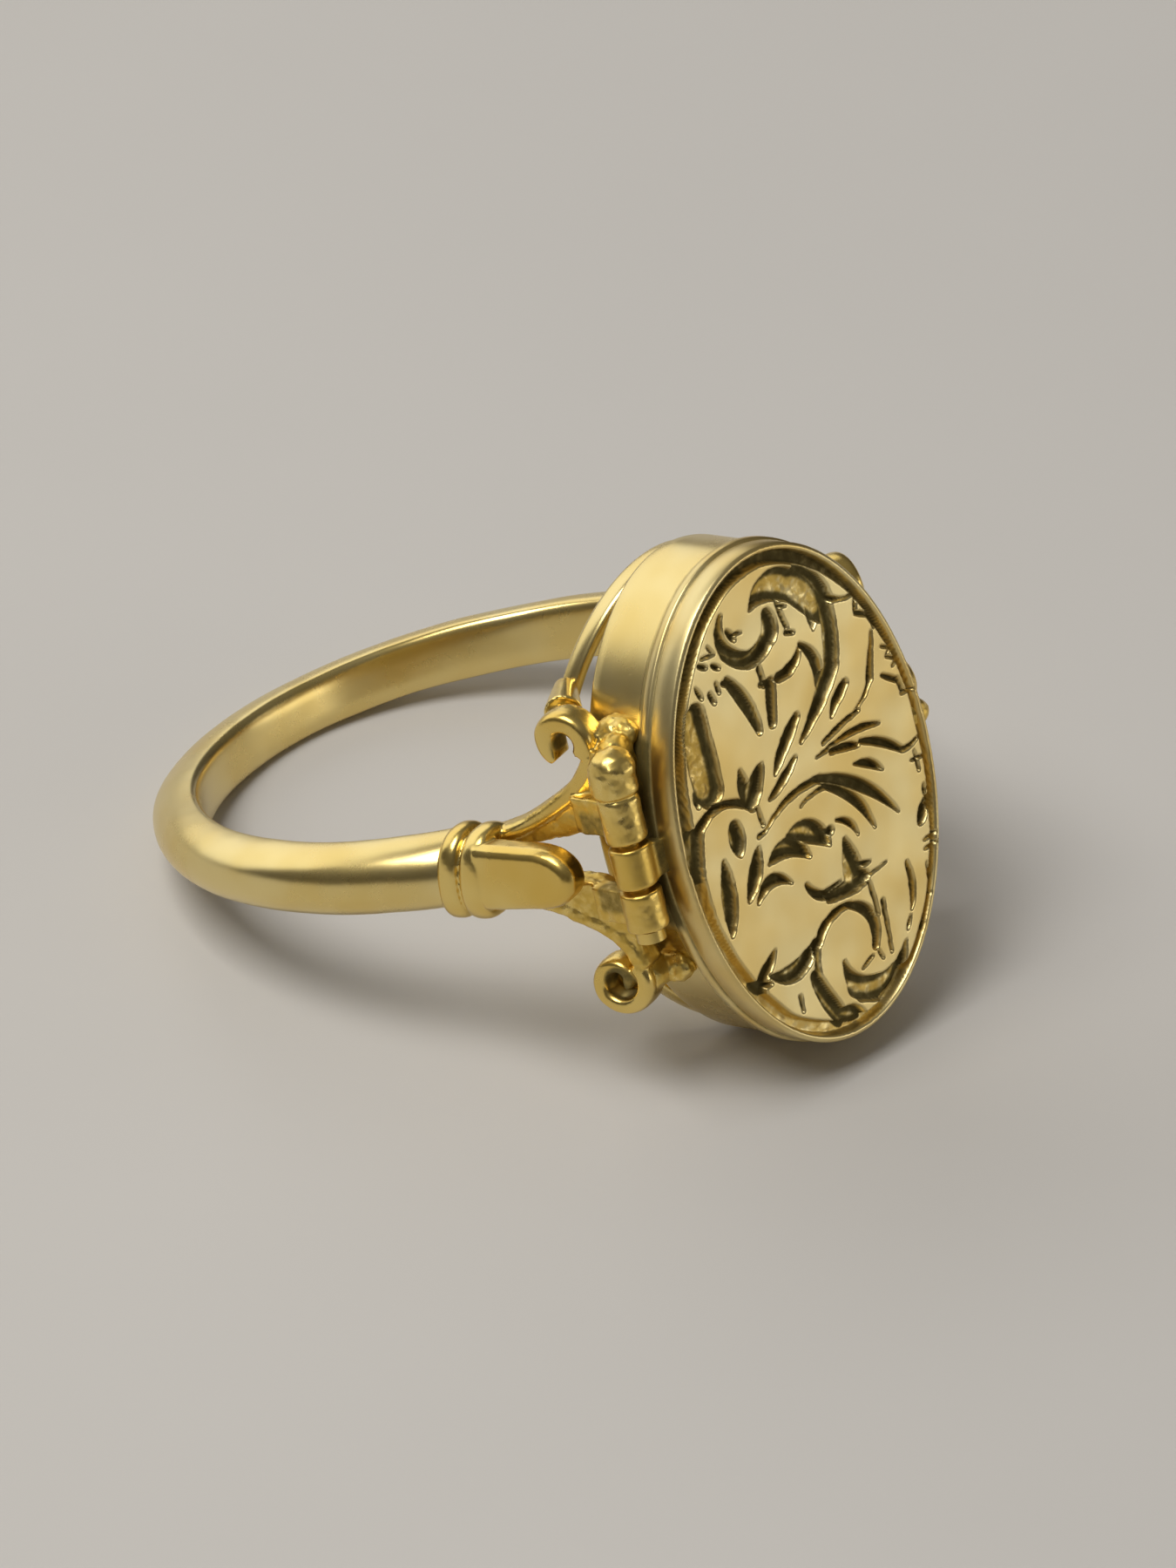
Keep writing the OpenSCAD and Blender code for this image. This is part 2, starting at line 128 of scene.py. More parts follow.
@dataclass
class Shell:
    """A closed skin in ring millimetres, with the finish it was made with."""

    verts: np.ndarray
    faces: list[tuple[int, ...]]
    finish: Surface = Surface.POLISHED

    def moved(self, turn: np.ndarray, shift: Sequence[float]) -> "Shell":
        """Turns and then shifts the skin.

        Args:
            turn: a 3 by 3 matrix; a mirror is allowed.
            shift: where its origin goes.

        Returns:
            A new skin, with its faces kept outward.
        """
        verts = self.verts @ turn.T + np.array(shift)
        flipped = np.linalg.det(turn) < 0
        faces = [tuple(reversed(f)) for f in self.faces] if flipped else self.faces
        return Shell(verts, faces, self.finish)

    def mirrored(self, axis: int) -> "Shell":
        """The skin's mirror image across a plane through the origin.

        Args:
            axis: the axis that the plane stands square to: 0, 1 or 2.

        Returns:
            A new skin.
        """
        turn = np.eye(3)
        turn[axis, axis] = -1.0
        return self.moved(turn, (0.0, 0.0, 0.0))

    def samples(self, spacing: float) -> np.ndarray:
        """Points scattered evenly over the skin.

        Args:
            spacing: largest distance between neighbours.

        Returns:
            An array of N by 3 points.
        """
        out = []
        for face in self.faces:
            corners = self.verts[list(face)]
            for i in range(1, len(face) - 1):
                a, b, c = corners[0], corners[i], corners[i + 1]
                longest = max(np.linalg.norm(b - a), np.linalg.norm(c - a), np.linalg.norm(c - b))
                steps = max(1, int(math.ceil(longest / spacing)))
                for j in range(steps):
                    for k in range(steps - j):
                        s, t = (j + 0.33) / steps, (k + 0.33) / steps
                        out.append(a + (b - a) * s + (c - a) * t)
        return np.array(out)


def compass(count: int) -> list[tuple[float, float]]:
    """The cosine and the sine of each of so many even steps round a circle."""
    return [(math.cos(2 * math.pi * k / count), math.sin(2 * math.pi * k / count)) for k in range(count)]


def squared(value: float, square: float) -> float:
    """A cosine or sine pushed outward: 2 keeps the circle, and more gives squarer corners."""
    return math.copysign(abs(value) ** (2 / square), value)


def turned(angle: float) -> np.ndarray:
    """The matrix of a turn about Z, by an angle in radians."""
    c, n = math.cos(angle), math.sin(angle)
    return np.array([[c, -n, 0], [n, c, 0], [0, 0, 1]])


def unit_rows(vectors: np.ndarray) -> np.ndarray:
    """The same vectors with a length of one each."""
    return vectors / (np.linalg.norm(vectors, axis=1)[:, None] + 1e-9)


def between(value: np.ndarray, start: float, end: float) -> np.ndarray:
    """A share that climbs evenly from 0 at the start to 1 at the end, which may lie below it."""
    return np.clip((value - start) / (end - start), 0, 1)


def rings_shell(rings: Sequence[np.ndarray], finish: Surface = Surface.POLISHED) -> Shell:
    """Skins a row of equal rings of points and closes its two ends.

    Args:
        rings: arrays of N by 3 points, one for each section.
        finish: the finish of the skin.

    Returns:
        A closed skin.
    """
    count, total = len(rings[0]), len(rings)
    faces: list[tuple[int, ...]] = []
    for a in range(0, (total - 1) * count, count):
        for k in range(count):
            n = (k + 1) % count
            faces.append((a + k, a + n, a + count + n, a + count + k))
    faces.append(tuple(reversed(range(count))))
    faces.append(tuple(range((total - 1) * count, total * count)))
    return Shell(np.vstack(rings), faces, finish)


def smooth_line(points: Sequence[Sequence[float]], steps: int) -> np.ndarray:
    """A smooth line through points, by a Catmull-Rom spline.

    Args:
        points: the points that it passes.
        steps: how many parts each stretch is cut into.

    Returns:
        An array of points along it.
    """
    p = np.array(points, float)
    p = np.vstack([2 * p[0] - p[1], p, 2 * p[-1] - p[-2]])
    out = []
    for i in range(1, len(p) - 2):
        for t in np.linspace(0, 1, steps, endpoint=False):
            a, b, c, d = p[i - 1], p[i], p[i + 1], p[i + 2]
            out.append(0.5 * (2 * b + (c - a) * t + (2 * a - 5 * b + 4 * c - d) * t ** 2
                              + (3 * b - 3 * c + d - a) * t ** 3))
    out.append(p[-2])
    return np.array(out)


def sweep(path: np.ndarray, half_u: Callable[[float], float], half_v: Callable[[float], float],
          side: Sequence[float], square: float = 2.6, sides: int = 20,
          finish: Surface = Surface.POLISHED) -> Shell:
    """Sweeps a rounded section along a path.

    Args:
        path: the points of its middle line.
        half_u: half the section's size across the side direction, by fraction along the path.
        half_v: half its size along the side direction.
        side: the direction that the section keeps.
        square: 2 gives an ellipse, and more gives squarer corners.
        sides: points round the section.
        finish: the finish of the skin.

    Returns:
        A closed skin.
    """
    s = np.array(side, float) / np.linalg.norm(side)
    rings = []
    total = len(path)
    for i, p in enumerate(path):
        run = path[min(i + 1, total - 1)] - path[max(i - 1, 0)]
        run = run / np.linalg.norm(run)
        v = s - run * (s @ run)
        v = v / np.linalg.norm(v)
        u = np.cross(v, run)
        t = i / (total - 1)
        rings.append(np.array([p + u * squared(c, square) * half_u(t) + v * squared(n, square) * half_v(t)
                               for c, n in compass(sides)]))
    return rings_shell(rings, finish)


def ball(centre: Sequence[float], radii: Sequence[float], finish: Surface = Surface.CAST,
         lump: float = 0.0, seed: int = 0) -> Shell:
    """A ball, or a lump of solder.

    Args:
        centre: its middle.
        radii: its half sizes along X, Y and Z.
        finish: the finish of the skin.
        lump: how much its surface wanders, as a share of its size.
        seed: which wandering it gets.

    Returns:
        A closed skin.
    """
    rows, cols, pole, lumps_each_way = 14, 22, 0.004, 2.2
    rings = []
    for i in range(rows + 1):
        a = math.pi * min(max(i / rows, pole), 1 - pole)
        ring = []
        for c, n in compass(cols):
            d = Vector((math.sin(a) * c, math.sin(a) * n, -math.cos(a)))
            grow = 1 + lump * noise.noise(d * lumps_each_way + Vector((seed * 3.7, seed * 1.3, 0.0)))
            ring.append([centre[j] + d[j] * radii[j] * grow for j in range(3)])
        rings.append(np.array(ring))
    return rings_shell(rings, finish)


def rod(start: Sequence[float], end: Sequence[float], radius: float,
        finish: Surface = Surface.CAST, flare: float = 1.0) -> Shell:
    """A round rod between two points.

    Args:
        start: one end.
        end: the other end.
        radius: its radius at the start.
        finish: the finish of the skin.
        flare: how much thicker it is at the end.

    Returns:
        A closed skin.
    """
    a, b = np.array(start, float), np.array(end, float)
    path = np.array([a + (b - a) * t for t in np.linspace(0, 1, 8)])
    side = (0, 0, 1) if abs((b - a)[2]) < 0.8 * np.linalg.norm(b - a) else (1, 0, 0)
    size = lambda t: radius * (1 + (flare - 1) * t)
    return sweep(path, size, size, side, 2.0, 20, finish)


def plate(outline: np.ndarray, low: float, high: float, edge: float,
          finish: Surface = Surface.POLISHED) -> Shell:
    """A flat plate with softened edges, cut to an outline in X and Z and standing along Y.

    Args:
        outline: N by 2 points, in order.
        low: where it starts along Y.
        high: where it ends along Y.
        edge: how much its corners are softened.
        finish: the finish of the skin.

    Returns:
        A closed skin.
    """
    x, z = outline.T
    turns_left = np.sum(x * np.roll(z, -1) - np.roll(x, -1) * z) > 0
    line = outline if turns_left else outline[::-1]
    ahead, behind = np.roll(line, -1, 0) - line, line - np.roll(line, 1, 0)
    run = unit_rows(unit_rows(ahead) + unit_rows(behind))
    inward = np.stack([-run[:, 1], run[:, 0]], 1)
    rings = []
    for y, inset in ((low, edge), (low + edge * 0.3, edge * 0.3), (low + edge, 0), (high - edge, 0),
                     (high - edge * 0.3, edge * 0.3), (high, edge)):
        moved = line + inward * inset
        rings.append(np.stack([moved[:, 0], np.full(len(line), y), moved[:, 1]], 1))
    return rings_shell(rings[::-1], finish)


def oval(half_l: float, half_w: float, inset: float, x: float, count: int = 320) -> np.ndarray:
    """One oval ring of points, across the box.

    Args:
        half_l: half the outline's length, along Z.
        half_w: half its width, along Y.
        inset: how far inside the outline it runs.
        x: its distance from the finger hole's centre.
        count: how many points it has.

    Returns:
        An array of points.
    """
    a = np.linspace(0, 2 * math.pi, count, endpoint=False)
    return np.stack([np.full(count, x), (half_w - inset) * np.cos(a), (half_l - inset) * np.sin(a)], 1)


def fuse(shells: Sequence[Shell], voxel: float, soften: int) -> tuple[np.ndarray, np.ndarray, np.ndarray]:
    """Fuses overlapping skins into one, as solder and casting do.

    Args:
        shells: closed skins that overlap.
        voxel: size of the fused skin's cells.
        soften: how many rounds of smoothing it gets.

    Returns:
        The fused points, its four-sided faces and each point's roughness of casting.
    """
    verts = np.vstack([s.verts for s in shells])
    faces, base = [], 0
    for s in shells:
        faces += [tuple(base + i for i in f) for f in s.faces]
        base += len(s.verts)
    mesh = bpy.data.meshes.new("fusing")
    mesh.from_pydata(verts.tolist(), [], faces)
    raw = bpy.data.objects.new("fusing", mesh)
    bpy.context.scene.collection.objects.link(raw)
    remesh = raw.modifiers.new("fuse", "REMESH")
    remesh.mode = "VOXEL"
    remesh.voxel_size = voxel
    relax = raw.modifiers.new("soften", "SMOOTH")
    relax.factor = 0.5
    relax.iterations = soften
    graph = bpy.context.evaluated_depsgraph_get()
    done = raw.evaluated_get(graph).to_mesh()
    points = np.empty(len(done.vertices) * 3)
    done.vertices.foreach_get("co", points)
    quads = np.empty(len(done.polygons) * 4, np.int64)
    done.loops.foreach_get("vertex_index", quads)
    bpy.data.objects.remove(raw)
    bpy.data.meshes.remove(mesh)
    points = points.reshape(-1, 3)
    return points, quads.reshape(-1, 4), cast_share(points, shells)


def cast_share(points: np.ndarray, shells: Sequence[Shell]) -> np.ndarray:
    """How cast each point looks, by the skins that lie nearest.

    Args:
        points: the fused points.
        shells: the skins that they came from.

    Returns:
        A share from 0 to 1 for each point.
    """
    spacing, neighbours = 0.16, 4
    sampled = [(s.samples(spacing), s.finish.value) for s in shells]
    tree = KDTree(sum(len(p) for p, _ in sampled))
    values = []
    for cloud, value in sampled:
        for p in cloud:
            tree.insert(p, len(values))
            values.append(value)
    tree.balance()
    out = np.empty(len(points))
    for i, p in enumerate(points):
        near = tree.find_n(p, neighbours)
        out[i] = sum(values[j] for _, j, _ in near) / len(near)
    return out


@dataclass
class Piece:
    """A finished mesh on its way into the scene."""

    name: str
    body: str
    slot: str
    nodes: tuple[str, ...] = ()

    def add(self, space: RingSpace, verts: np.ndarray, faces: Iterable[Sequence[int]],
            material: bpy.types.Material, shares: dict[str, np.ndarray] | None = None) -> bpy.types.Object:
        """Makes the piece's object, dresses it and ties it to its body.

        Args:
            space: the ring's own axes.
            verts: points in ring millimetres.
            faces: the faces, by point number.
            material: its finish.
            shares: named values for each point, which the finish reads.

        Returns:
            The new object.
        """
        mesh = bpy.data.meshes.new(self.name)
        mesh.from_pydata(space.points(verts).tolist(), [], [tuple(int(i) for i in f) for f in faces])
        mesh.validate()
        mesh.polygons.foreach_set("use_smooth", [True] * len(mesh.polygons))
        for share, values in (shares or {}).items():
            layer = mesh.attributes.new(share, "FLOAT", "POINT")
            layer.data.foreach_set("value", np.clip(values, 0, 1).astype(np.float32))
        mesh.materials.append(material)
        obj = bpy.data.objects.new(self.name, mesh)
        bpy.context.scene.collection.objects.link(obj)
        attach(obj, self.body)
        if self.nodes:
            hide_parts(*self.nodes)
        log.info("%s: %d points", self.name, len(mesh.vertices))
        return obj


Value = Union[float, "Wire"]
Colour = tuple[float, float, float]


@dataclass(frozen=True)
class Wire:
    """A number that a material works out over the surface, written with plain operators."""

    bench: "NodeBench"
    socket: bpy.types.NodeSocket

    def _math(self, operation: str, *values: Value) -> "Wire":
        """Adds one Math node."""
        return self.bench.math(operation, *values)

    def __add__(self, other: Value) -> "Wire":
        """Sum."""
        return self._math("ADD", self, other)

    def __radd__(self, other: Value) -> "Wire":
        """Sum, with the number first."""
        return self._math("ADD", other, self)

    def __sub__(self, other: Value) -> "Wire":
        """Difference."""
        return self._math("SUBTRACT", self, other)

    def __rsub__(self, other: Value) -> "Wire":
        """Difference, with the number first."""
        return self._math("SUBTRACT", other, self)

    def __mul__(self, other: Value) -> "Wire":
        """Product."""
        return self._math("MULTIPLY", self, other)

    def __rmul__(self, other: Value) -> "Wire":
        """Product, with the number first."""
        return self._math("MULTIPLY", other, self)

    def step(self, low: float, high: float) -> "Wire":
        """Rises smoothly from 0 to 1 as the value passes from low to high.

        Args:
            low: the value where the climb starts.
            high: the value where it ends.

        Returns:
            The new value.
        """
        node = self.bench.node("ShaderNodeMapRange", {"interpolation_type": "SMOOTHSTEP"},
                               {"Value": self, "From Min": low, "From Max": high})
        return Wire(self.bench, node.outputs["Result"])


class NodeBench:
    """Builds one node tree, a material's or the surround's."""

    def __init__(self, owner: Union[bpy.types.Material, bpy.types.World]) -> None:
        """Empties the owner's tree.

        Args:
            owner: the new material or world.
        """
        owner.use_nodes = True
        self.tree = owner.node_tree
        self.tree.nodes.clear()

    def node(self, kind: str, settings: dict | None = None, inputs: dict | None = None) -> bpy.types.Node:
        """Adds one node.

        Args:
            kind: the node's type.
            settings: properties set first; a ramp's stops are given as "stops".
            inputs: socket values, or the wires and sockets that feed them, by name or number.

        Returns:
            The node.
        """
        made = self.tree.nodes.new(kind)
        for key, value in (settings or {}).items():
            if key == "stops":
                ramp = made.color_ramp.elements
                while len(ramp) < len(value):
                    ramp.new(0.5)
                for element, (place, colour) in zip(ramp, value):
                    element.position = place
                    element.color = (*colour, 1.0)
            else:
                setattr(made, key, value)
        for key, value in (inputs or {}).items():
            self.feed(made.inputs[key], value)
        return made

    def feed(self, socket: bpy.types.NodeSocket, value: object) -> None:
        """Sets a socket, or links it.

        Args:
            socket: the socket to feed.
            value: a plain value, or the wire or socket that it is linked to.
        """
        if isinstance(value, Wire):
            self.tree.links.new(value.socket, socket)
        elif isinstance(value, bpy.types.NodeSocket):
            self.tree.links.new(value, socket)
        else:
            socket.default_value = value

    def math(self, operation: str, *values: Value) -> Wire:
        """A Math node on one or two values."""
        node = self.node("ShaderNodeMath", {"operation": operation}, dict(enumerate(values)))
        return Wire(self, node.outputs[0])

    def share(self, name: str) -> Wire:
        """A value that the mesh carries for each point."""
        node = self.node("ShaderNodeAttribute", {"attribute_name": name})
        return Wire(self, node.outputs["Fac"])

    def grain(self, coordinates: bpy.types.NodeSocket, per_mm: float, detail: float = 3.0,
              roughness: float = 0.55) -> Wire:
        """Fractal noise from 0 to 1.

        Args:
            coordinates: the socket of the place.
            per_mm: how many waves it has to a millimetre.
            detail: how many finer waves are added.
            roughness: how strong they are.

        Returns:
            The noise.
        """
        node = self.node("ShaderNodeTexNoise", {}, {"Vector": coordinates, "Scale": per_mm / MM,
                                                    "Detail": detail, "Roughness": roughness})
        return Wire(self, node.outputs[0])

    def blend(self, share: Value, first: object, second: object) -> bpy.types.NodeSocket:
        """Mixes two colours."""
        node = self.node("ShaderNodeMix", {"data_type": "RGBA"}, {0: share, 6: first, 7: second})
        return node.outputs[2]


@dataclass(frozen=True)
class GoldFinish:
    """A gold surface: polished or satin, with cast patches, dark tarnish in its hollows and painted shade in
    its recesses.
    """

    name: str
    colour: Colour
    deep_colour: Colour
    roughness: float
    wander: float = 0.06
    scratch: float = 0.003
    cast_colour: Colour = (0.74, 0.51, 0.10)
    # The colour of tarnish in hollows, also used for painted shade.
    patina: Colour = (0.15, 0.117, 0.034)
    cloud_per_mm: float = 0.35
    fine_per_mm: float = 3.2
    hairlines_per_mm: float = 5.0
    grit_per_mm: float = 9.0
    bump: float = 0.35
    bump_mm: float = 0.12

    def material(self) -> bpy.types.Material:
        """Builds the finish's material.

        Returns:
            A material that reads each mesh's share of cast roughness and its share of dark tarnish and painted
            shade, where it has them.
        """
        made = bpy.data.materials.new(self.name)
        bench = NodeBench(made)
        place = bench.node("ShaderNodeTexCoord").outputs["Object"]
        cast, dark = bench.share("cast"), bench.share("patina")
        cloud = bench.grain(place, self.cloud_per_mm, 2.0)
        fine = bench.grain(place, self.fine_per_mm, 4.0, 0.6)
        grit = bench.grain(place, self.grit_per_mm, 3.0, 0.7)
        stretched = bench.node("ShaderNodeMapping", {}, {"Vector": place, "Scale": (0.1, 1.0, 1.0)})
        hairlines = bench.grain(stretched.outputs[0], self.hairlines_per_mm, 2.0, 0.5)

        rough_patch = cast * fine.step(0.34, 0.6)
        # The dark share paints tarnish and painted shade alike: darker, rougher and less metallic.
        shade_and_tarnish = (dark * (0.55 + 0.9 * fine)).step(0.12, 0.95)
        warm = bench.blend(cloud.step(0.3, 0.7), (*self.colour, 1.0), (*self.deep_colour, 1.0))
        tinted = bench.blend(rough_patch * 0.75, warm, (*self.cast_colour, 1.0))
        base = bench.blend(shade_and_tarnish, tinted, (*self.patina, 1.0))

        roughness = (self.roughness + self.wander * (cloud - 0.5) + 0.012 * (fine - 0.5)
                     + 0.22 * rough_patch + 0.3 * shade_and_tarnish)
        height = (0.5 * cloud + self.scratch * hairlines + 0.3 * (cast * fine) + 0.22 * (cast * grit)
                  + 0.25 * (dark * grit))
        bump = bench.node("ShaderNodeBump", {}, {"Strength": self.bump, "Distance": self.bump_mm * MM,
                                                 "Height": height})
        shader = bench.node("ShaderNodeBsdfPrincipled", {}, {
            "Base Color": base, "Metallic": 1.0 - 0.4 * shade_and_tarnish, "Roughness": roughness,
            "Normal": bump.outputs[0]})
        bench.node("ShaderNodeOutputMaterial", {}, {"Surface": shader.outputs[0]})
        return made


POLISHED_GOLD = GoldFinish("gold_polished", (0.81, 0.66, 0.30), (0.76, 0.58, 0.21), 0.27)
SATIN_GOLD = GoldFinish("gold_satin", (0.78, 0.65, 0.32), (0.70, 0.52, 0.19), 0.36)
WORN_GOLD = GoldFinish("gold_worn", (0.82, 0.63, 0.22), (0.74, 0.51, 0.12), 0.27, 0.1)


@dataclass
class Band:
    """The plain hoop, from collar to collar."""

    hole_r: float = 8.75
    thickness: float = 1.55
    half_back: float = 0.82
    half_front: float = 1.12
    end_angle: float = 46.8
    inner_edge: float = 0.34
    crown_square: float = 2.15
    inner_square: float = 3.4
    wear: tuple[tuple[float, float], ...] = ((0.026, 0.45), (0.005, 1.3))

    def half_width(self, x: float) -> float:
        """Half the band's width where it lies that far towards the lid."""
        share = (x + 9.5) / 15.0
        return self.half_back + (self.half_front - self.half_back) * share

    def build(self, space: RingSpace, finish: bpy.types.Material) -> bpy.types.Object:
        """Sweeps the crowned section round the finger hole.

        Args:
            space: the ring's own axes.
            finish: its material.

        Returns:
            The band.
        """
        steps, sides = 300, 64
        crown = self.thickness - self.inner_edge
        rings = []
        for i in range(steps + 1):
            angle = math.radians(self.end_angle + (360 - 2 * self.end_angle) * i / steps)
            out = np.array([math.cos(angle), math.sin(angle), 0.0])
            middle = (self.hole_r + self.inner_edge) * out
            half = self.half_width(middle[0])
            ring = []
            for c, n in compass(sides):
                square, depth = (self.crown_square, crown) if c > 0 else (self.inner_square, self.inner_edge)
                across, along = squared(c, square) * depth, squared(n, square) * half
                offset = out * across + np.array([0, 0, along])
                spot = Vector(middle + offset)
                dip = sum(deep * noise.noise(spot * per_mm) for deep, per_mm in self.wear)
                ring.append(middle + offset * (1 + dip / max(0.3, math.hypot(across, along))))
            rings.append(np.array(ring))
        shell = rings_shell(rings)
        return Piece("band", RING, "gold", ("ring_body",)).add(space, shell.verts, shell.faces, finish)


@dataclass
class Shoulder:
    """A forked shoulder: reeded collar, tongue, and two arms that end in scrolls.

    The pairs are for the upper and the lower arm. Edges and webs run from the collar, as distance
    along the arm and height above its middle.
    """

    collar_angle: float = 47.8
    collar_out: float = 9.7
    lean: float = 11.0
    collar_h: float = 2.85
    collar_d: float = 2.3
    collar_square: float = 2.3
    reeds: tuple[tuple[float, float], ...] = ((-0.75, -0.02), (0.02, 0.86))
    reed_slant: float = 0.16
    reed_square: float = 2.6
    crease: float = 0.36
    tongue_root: float = 0.72
    tongue_tip: float = 4.0
    tongue_h: float = 1.92
    tongue_out: float = 1.02
    tongue_rise: float = 0.1
    tongue_bevel: float = 0.3
    arm_root: tuple[float, float] = (0.6, 0.31)
    scroll_x: float = 10.0
    scroll_y: float = 5.6
    scroll_z: float = 3.78
    scroll_r: tuple[float, float] = (1.0, 1.09)
    scroll_drop: tuple[float, float] = (0.0, 0.1)
    scroll_turn: tuple[float, float] = (236.0, 402.0)
    taper: float = 0.6
    strap_t: tuple[float, float] = (0.7, 0.62)
    strap_w: float = 1.04
    upper_edge: tuple[tuple[float, float], ...] = (
        (0.0, 0.8), (1.3, 1.1), (2.5, 1.5), (4.1, 2.4), (4.75, 3.05), (5.1, 3.6))
    lower_edge: tuple[tuple[float, float], ...] = (
        (0.0, 0.75), (1.3, 1.05), (2.7, 1.43), (3.5, 1.82), (4.4, 2.33), (4.9, 2.9), (5.15, 3.5))
    upper_web: tuple[tuple[float, float], ...] = (
        (1.0, 0.3), (2.0, 0.6), (3.4, 0.85), (4.1, 1.0), (4.7, 1.6), (5.1, 2.4), (5.25, 3.2))
    lower_web: tuple[tuple[float, float], ...] = (
        (1.0, 0.15), (2.5, 0.35), (4.1, 0.5), (4.85, 0.95), (5.2, 1.9), (5.25, 3.1))

    def collar(self) -> list[Shell]:
        """Two reeds with a crease between them, in the shoulder's own line.

        Returns:
            A skin for each reed.
        """
        made = []
        for start, end in self.reeds:
            rings = []
            for t in np.linspace(0, 1, 17):
                hump = (1 - 0.97 * abs(2 * t - 1) ** self.reed_square) ** (1 / self.reed_square)
                shrink = self.crease * (1 - hump)
                x = start + (end - start) * t
                ring = []
                for c, n in compass(48):
                    y = squared(c, self.collar_square) * (self.collar_d / 2 - shrink)
                    z = squared(n, self.collar_square) * (self.collar_h / 2 - shrink)
                    ring.append((x + self.reed_slant * z, y, z))
                rings.append(np.array(ring))
            made.append(rings_shell(rings))
        return made

    def tongue(self) -> Shell:
        """The flat leaf beyond the collar, round at its tip and bevelled round its outer face.

        Returns:
            Its skin, in the shoulder's own line.
        """
        start, tip, out, bevel = self.tongue_root, self.tongue_tip, -self.tongue_out, self.tongue_bevel
        straight = start + 0.5 * (tip - start)
        rise = self.tongue_rise
        rings = []
        for y, inset in ((-0.05, 0.14), (-0.2, 0.02), (out + bevel, 0.0), (out + bevel * 0.4, bevel * 0.3),
                         (out + 0.03, bevel * 0.75), (out, bevel * 1.05)):
            half = self.tongue_h / 2 - inset
            ring = [(start, y, rise - half * 1.08), (0.5 * (start + straight), y, rise - half * 1.04)]
            for a in np.linspace(-math.pi / 2, math.pi / 2, 31):
                along = math.cos(a) ** 0.74
                ring.append((straight + (tip - straight - inset) * along, y, rise + half * math.sin(a)))
            ring += [(0.5 * (start + straight), y, rise + half * 1.04), (start, y, rise + half * 1.08)]
            rings.append(np.array(ring))
        return rings_shell(rings)

    def arm(self, edge: Sequence[Sequence[float]], web: Sequence[Sequence[float]], reach: float,
            lower: bool) -> list[Shell]:
        """One arm with its web and its scroll, above the middle and in the plane of its run.

        Args:
            edge: its outer edge, as distance along the arm and height.
            web: the web's inner edge.
            reach: how far along the scroll's centre lies.
            lower: whether it is the lower arm, which is left rough and rolled to an eye.

        Returns:
            The arm's skins.
        """
        outer = smooth_line(edge, 6)
        inner = smooth_line(web, 5)
        along, up = (outer - np.array([0.02, 0.22])).T
        finish = Surface.CAST if lower else Surface.POLISHED
        rail = sweep(np.stack([along, np.zeros(len(along)), up], 1), lambda t: 0.29 + 0.02 * t,
                     lambda t: 0.46 + 0.06 * t, (0, 1, 0), 2.8, 20, finish)
        outline = np.vstack([outer - np.array([0, 0.12]), inner[::-1]])
        sheet = plate(outline, -0.44 if lower else -0.36, 0.34, 0.1, Surface.CAST)
        return [rail, sheet, self.scroll(reach, lower)]

    def scroll(self, reach: float, lower: bool) -> Shell:
        """The rolled strap at an arm's end: the upper one ends in a lip, the lower one in an eye.

        Args:
            reach: how far along the arm its centre lies.
            lower: whether it is the lower one.

        Returns:
            Its skin, above the middle and in the plane of the arm's run.
        """
        radius, drop, turn, strap = (
            pair[lower] for pair in (self.scroll_r, self.scroll_drop, self.scroll_turn, self.strap_t))
        path = []
        for a in np.arange(-38, turn + 1, 6.0):
            lip = 0.0 if lower else 0.24 * max(0.0, (a - 160) / (turn - 160)) ** 2
            r = radius + lip - max(0.0, a - 150) * self.taper / 235 - strap / 2
            path.append((reach + r * math.cos(math.radians(a)), 0.0,
                         self.scroll_z - drop + r * math.sin(math.radians(a))))
        half_t, half_w = strap / 2, self.strap_w / 2
        thick = (lambda t: half_t * (0.95 - 0.3 * t)) if lower else (lambda t: half_t * (1 - 0.6 * t ** 14))
        return sweep(np.array(path), thick, lambda t: half_w * (1.04 - 0.1 * t), (0, 1, 0), 3.2, 24)

    def collar_spot(self) -> np.ndarray:
        """Where the collar's centre lies, towards the lid and out from the middle."""
        angle = math.radians(self.collar_angle)
        return self.collar_out * np.array([math.cos(angle), math.sin(angle)])

    def run(self) -> np.ndarray:
        """The way from an arm's root to its scroll's centre, as seen on the catch side."""
        return np.array([self.scroll_x, self.scroll_y]) - (self.collar_spot() - np.array(self.arm_root))

    def shells(self) -> list[Shell]:
        """All the skins of the hinge side's shoulder.

        Returns:
            The skins, in ring space.
        """
        cx, cy = self.collar_spot()
        lean = turned(math.radians(self.lean))
        made = [s.moved(lean, (cx, -cy, 0)) for s in [*self.collar(), self.tongue()]]
        run = self.run()
        reach = float(np.linalg.norm(run))
        upper = self.arm(self.upper_edge, self.upper_web, reach, False)
        lower = [s.mirrored(2) for s in self.arm(self.lower_edge, self.lower_web, reach, True)]
        heading = turned(math.atan2(-run[1], run[0]))
        shift = (self.scroll_x - run[0], run[1] - self.scroll_y, 0)
        made += [s.moved(heading, shift) for s in [*upper, *lower]]
        return made + self.solder()

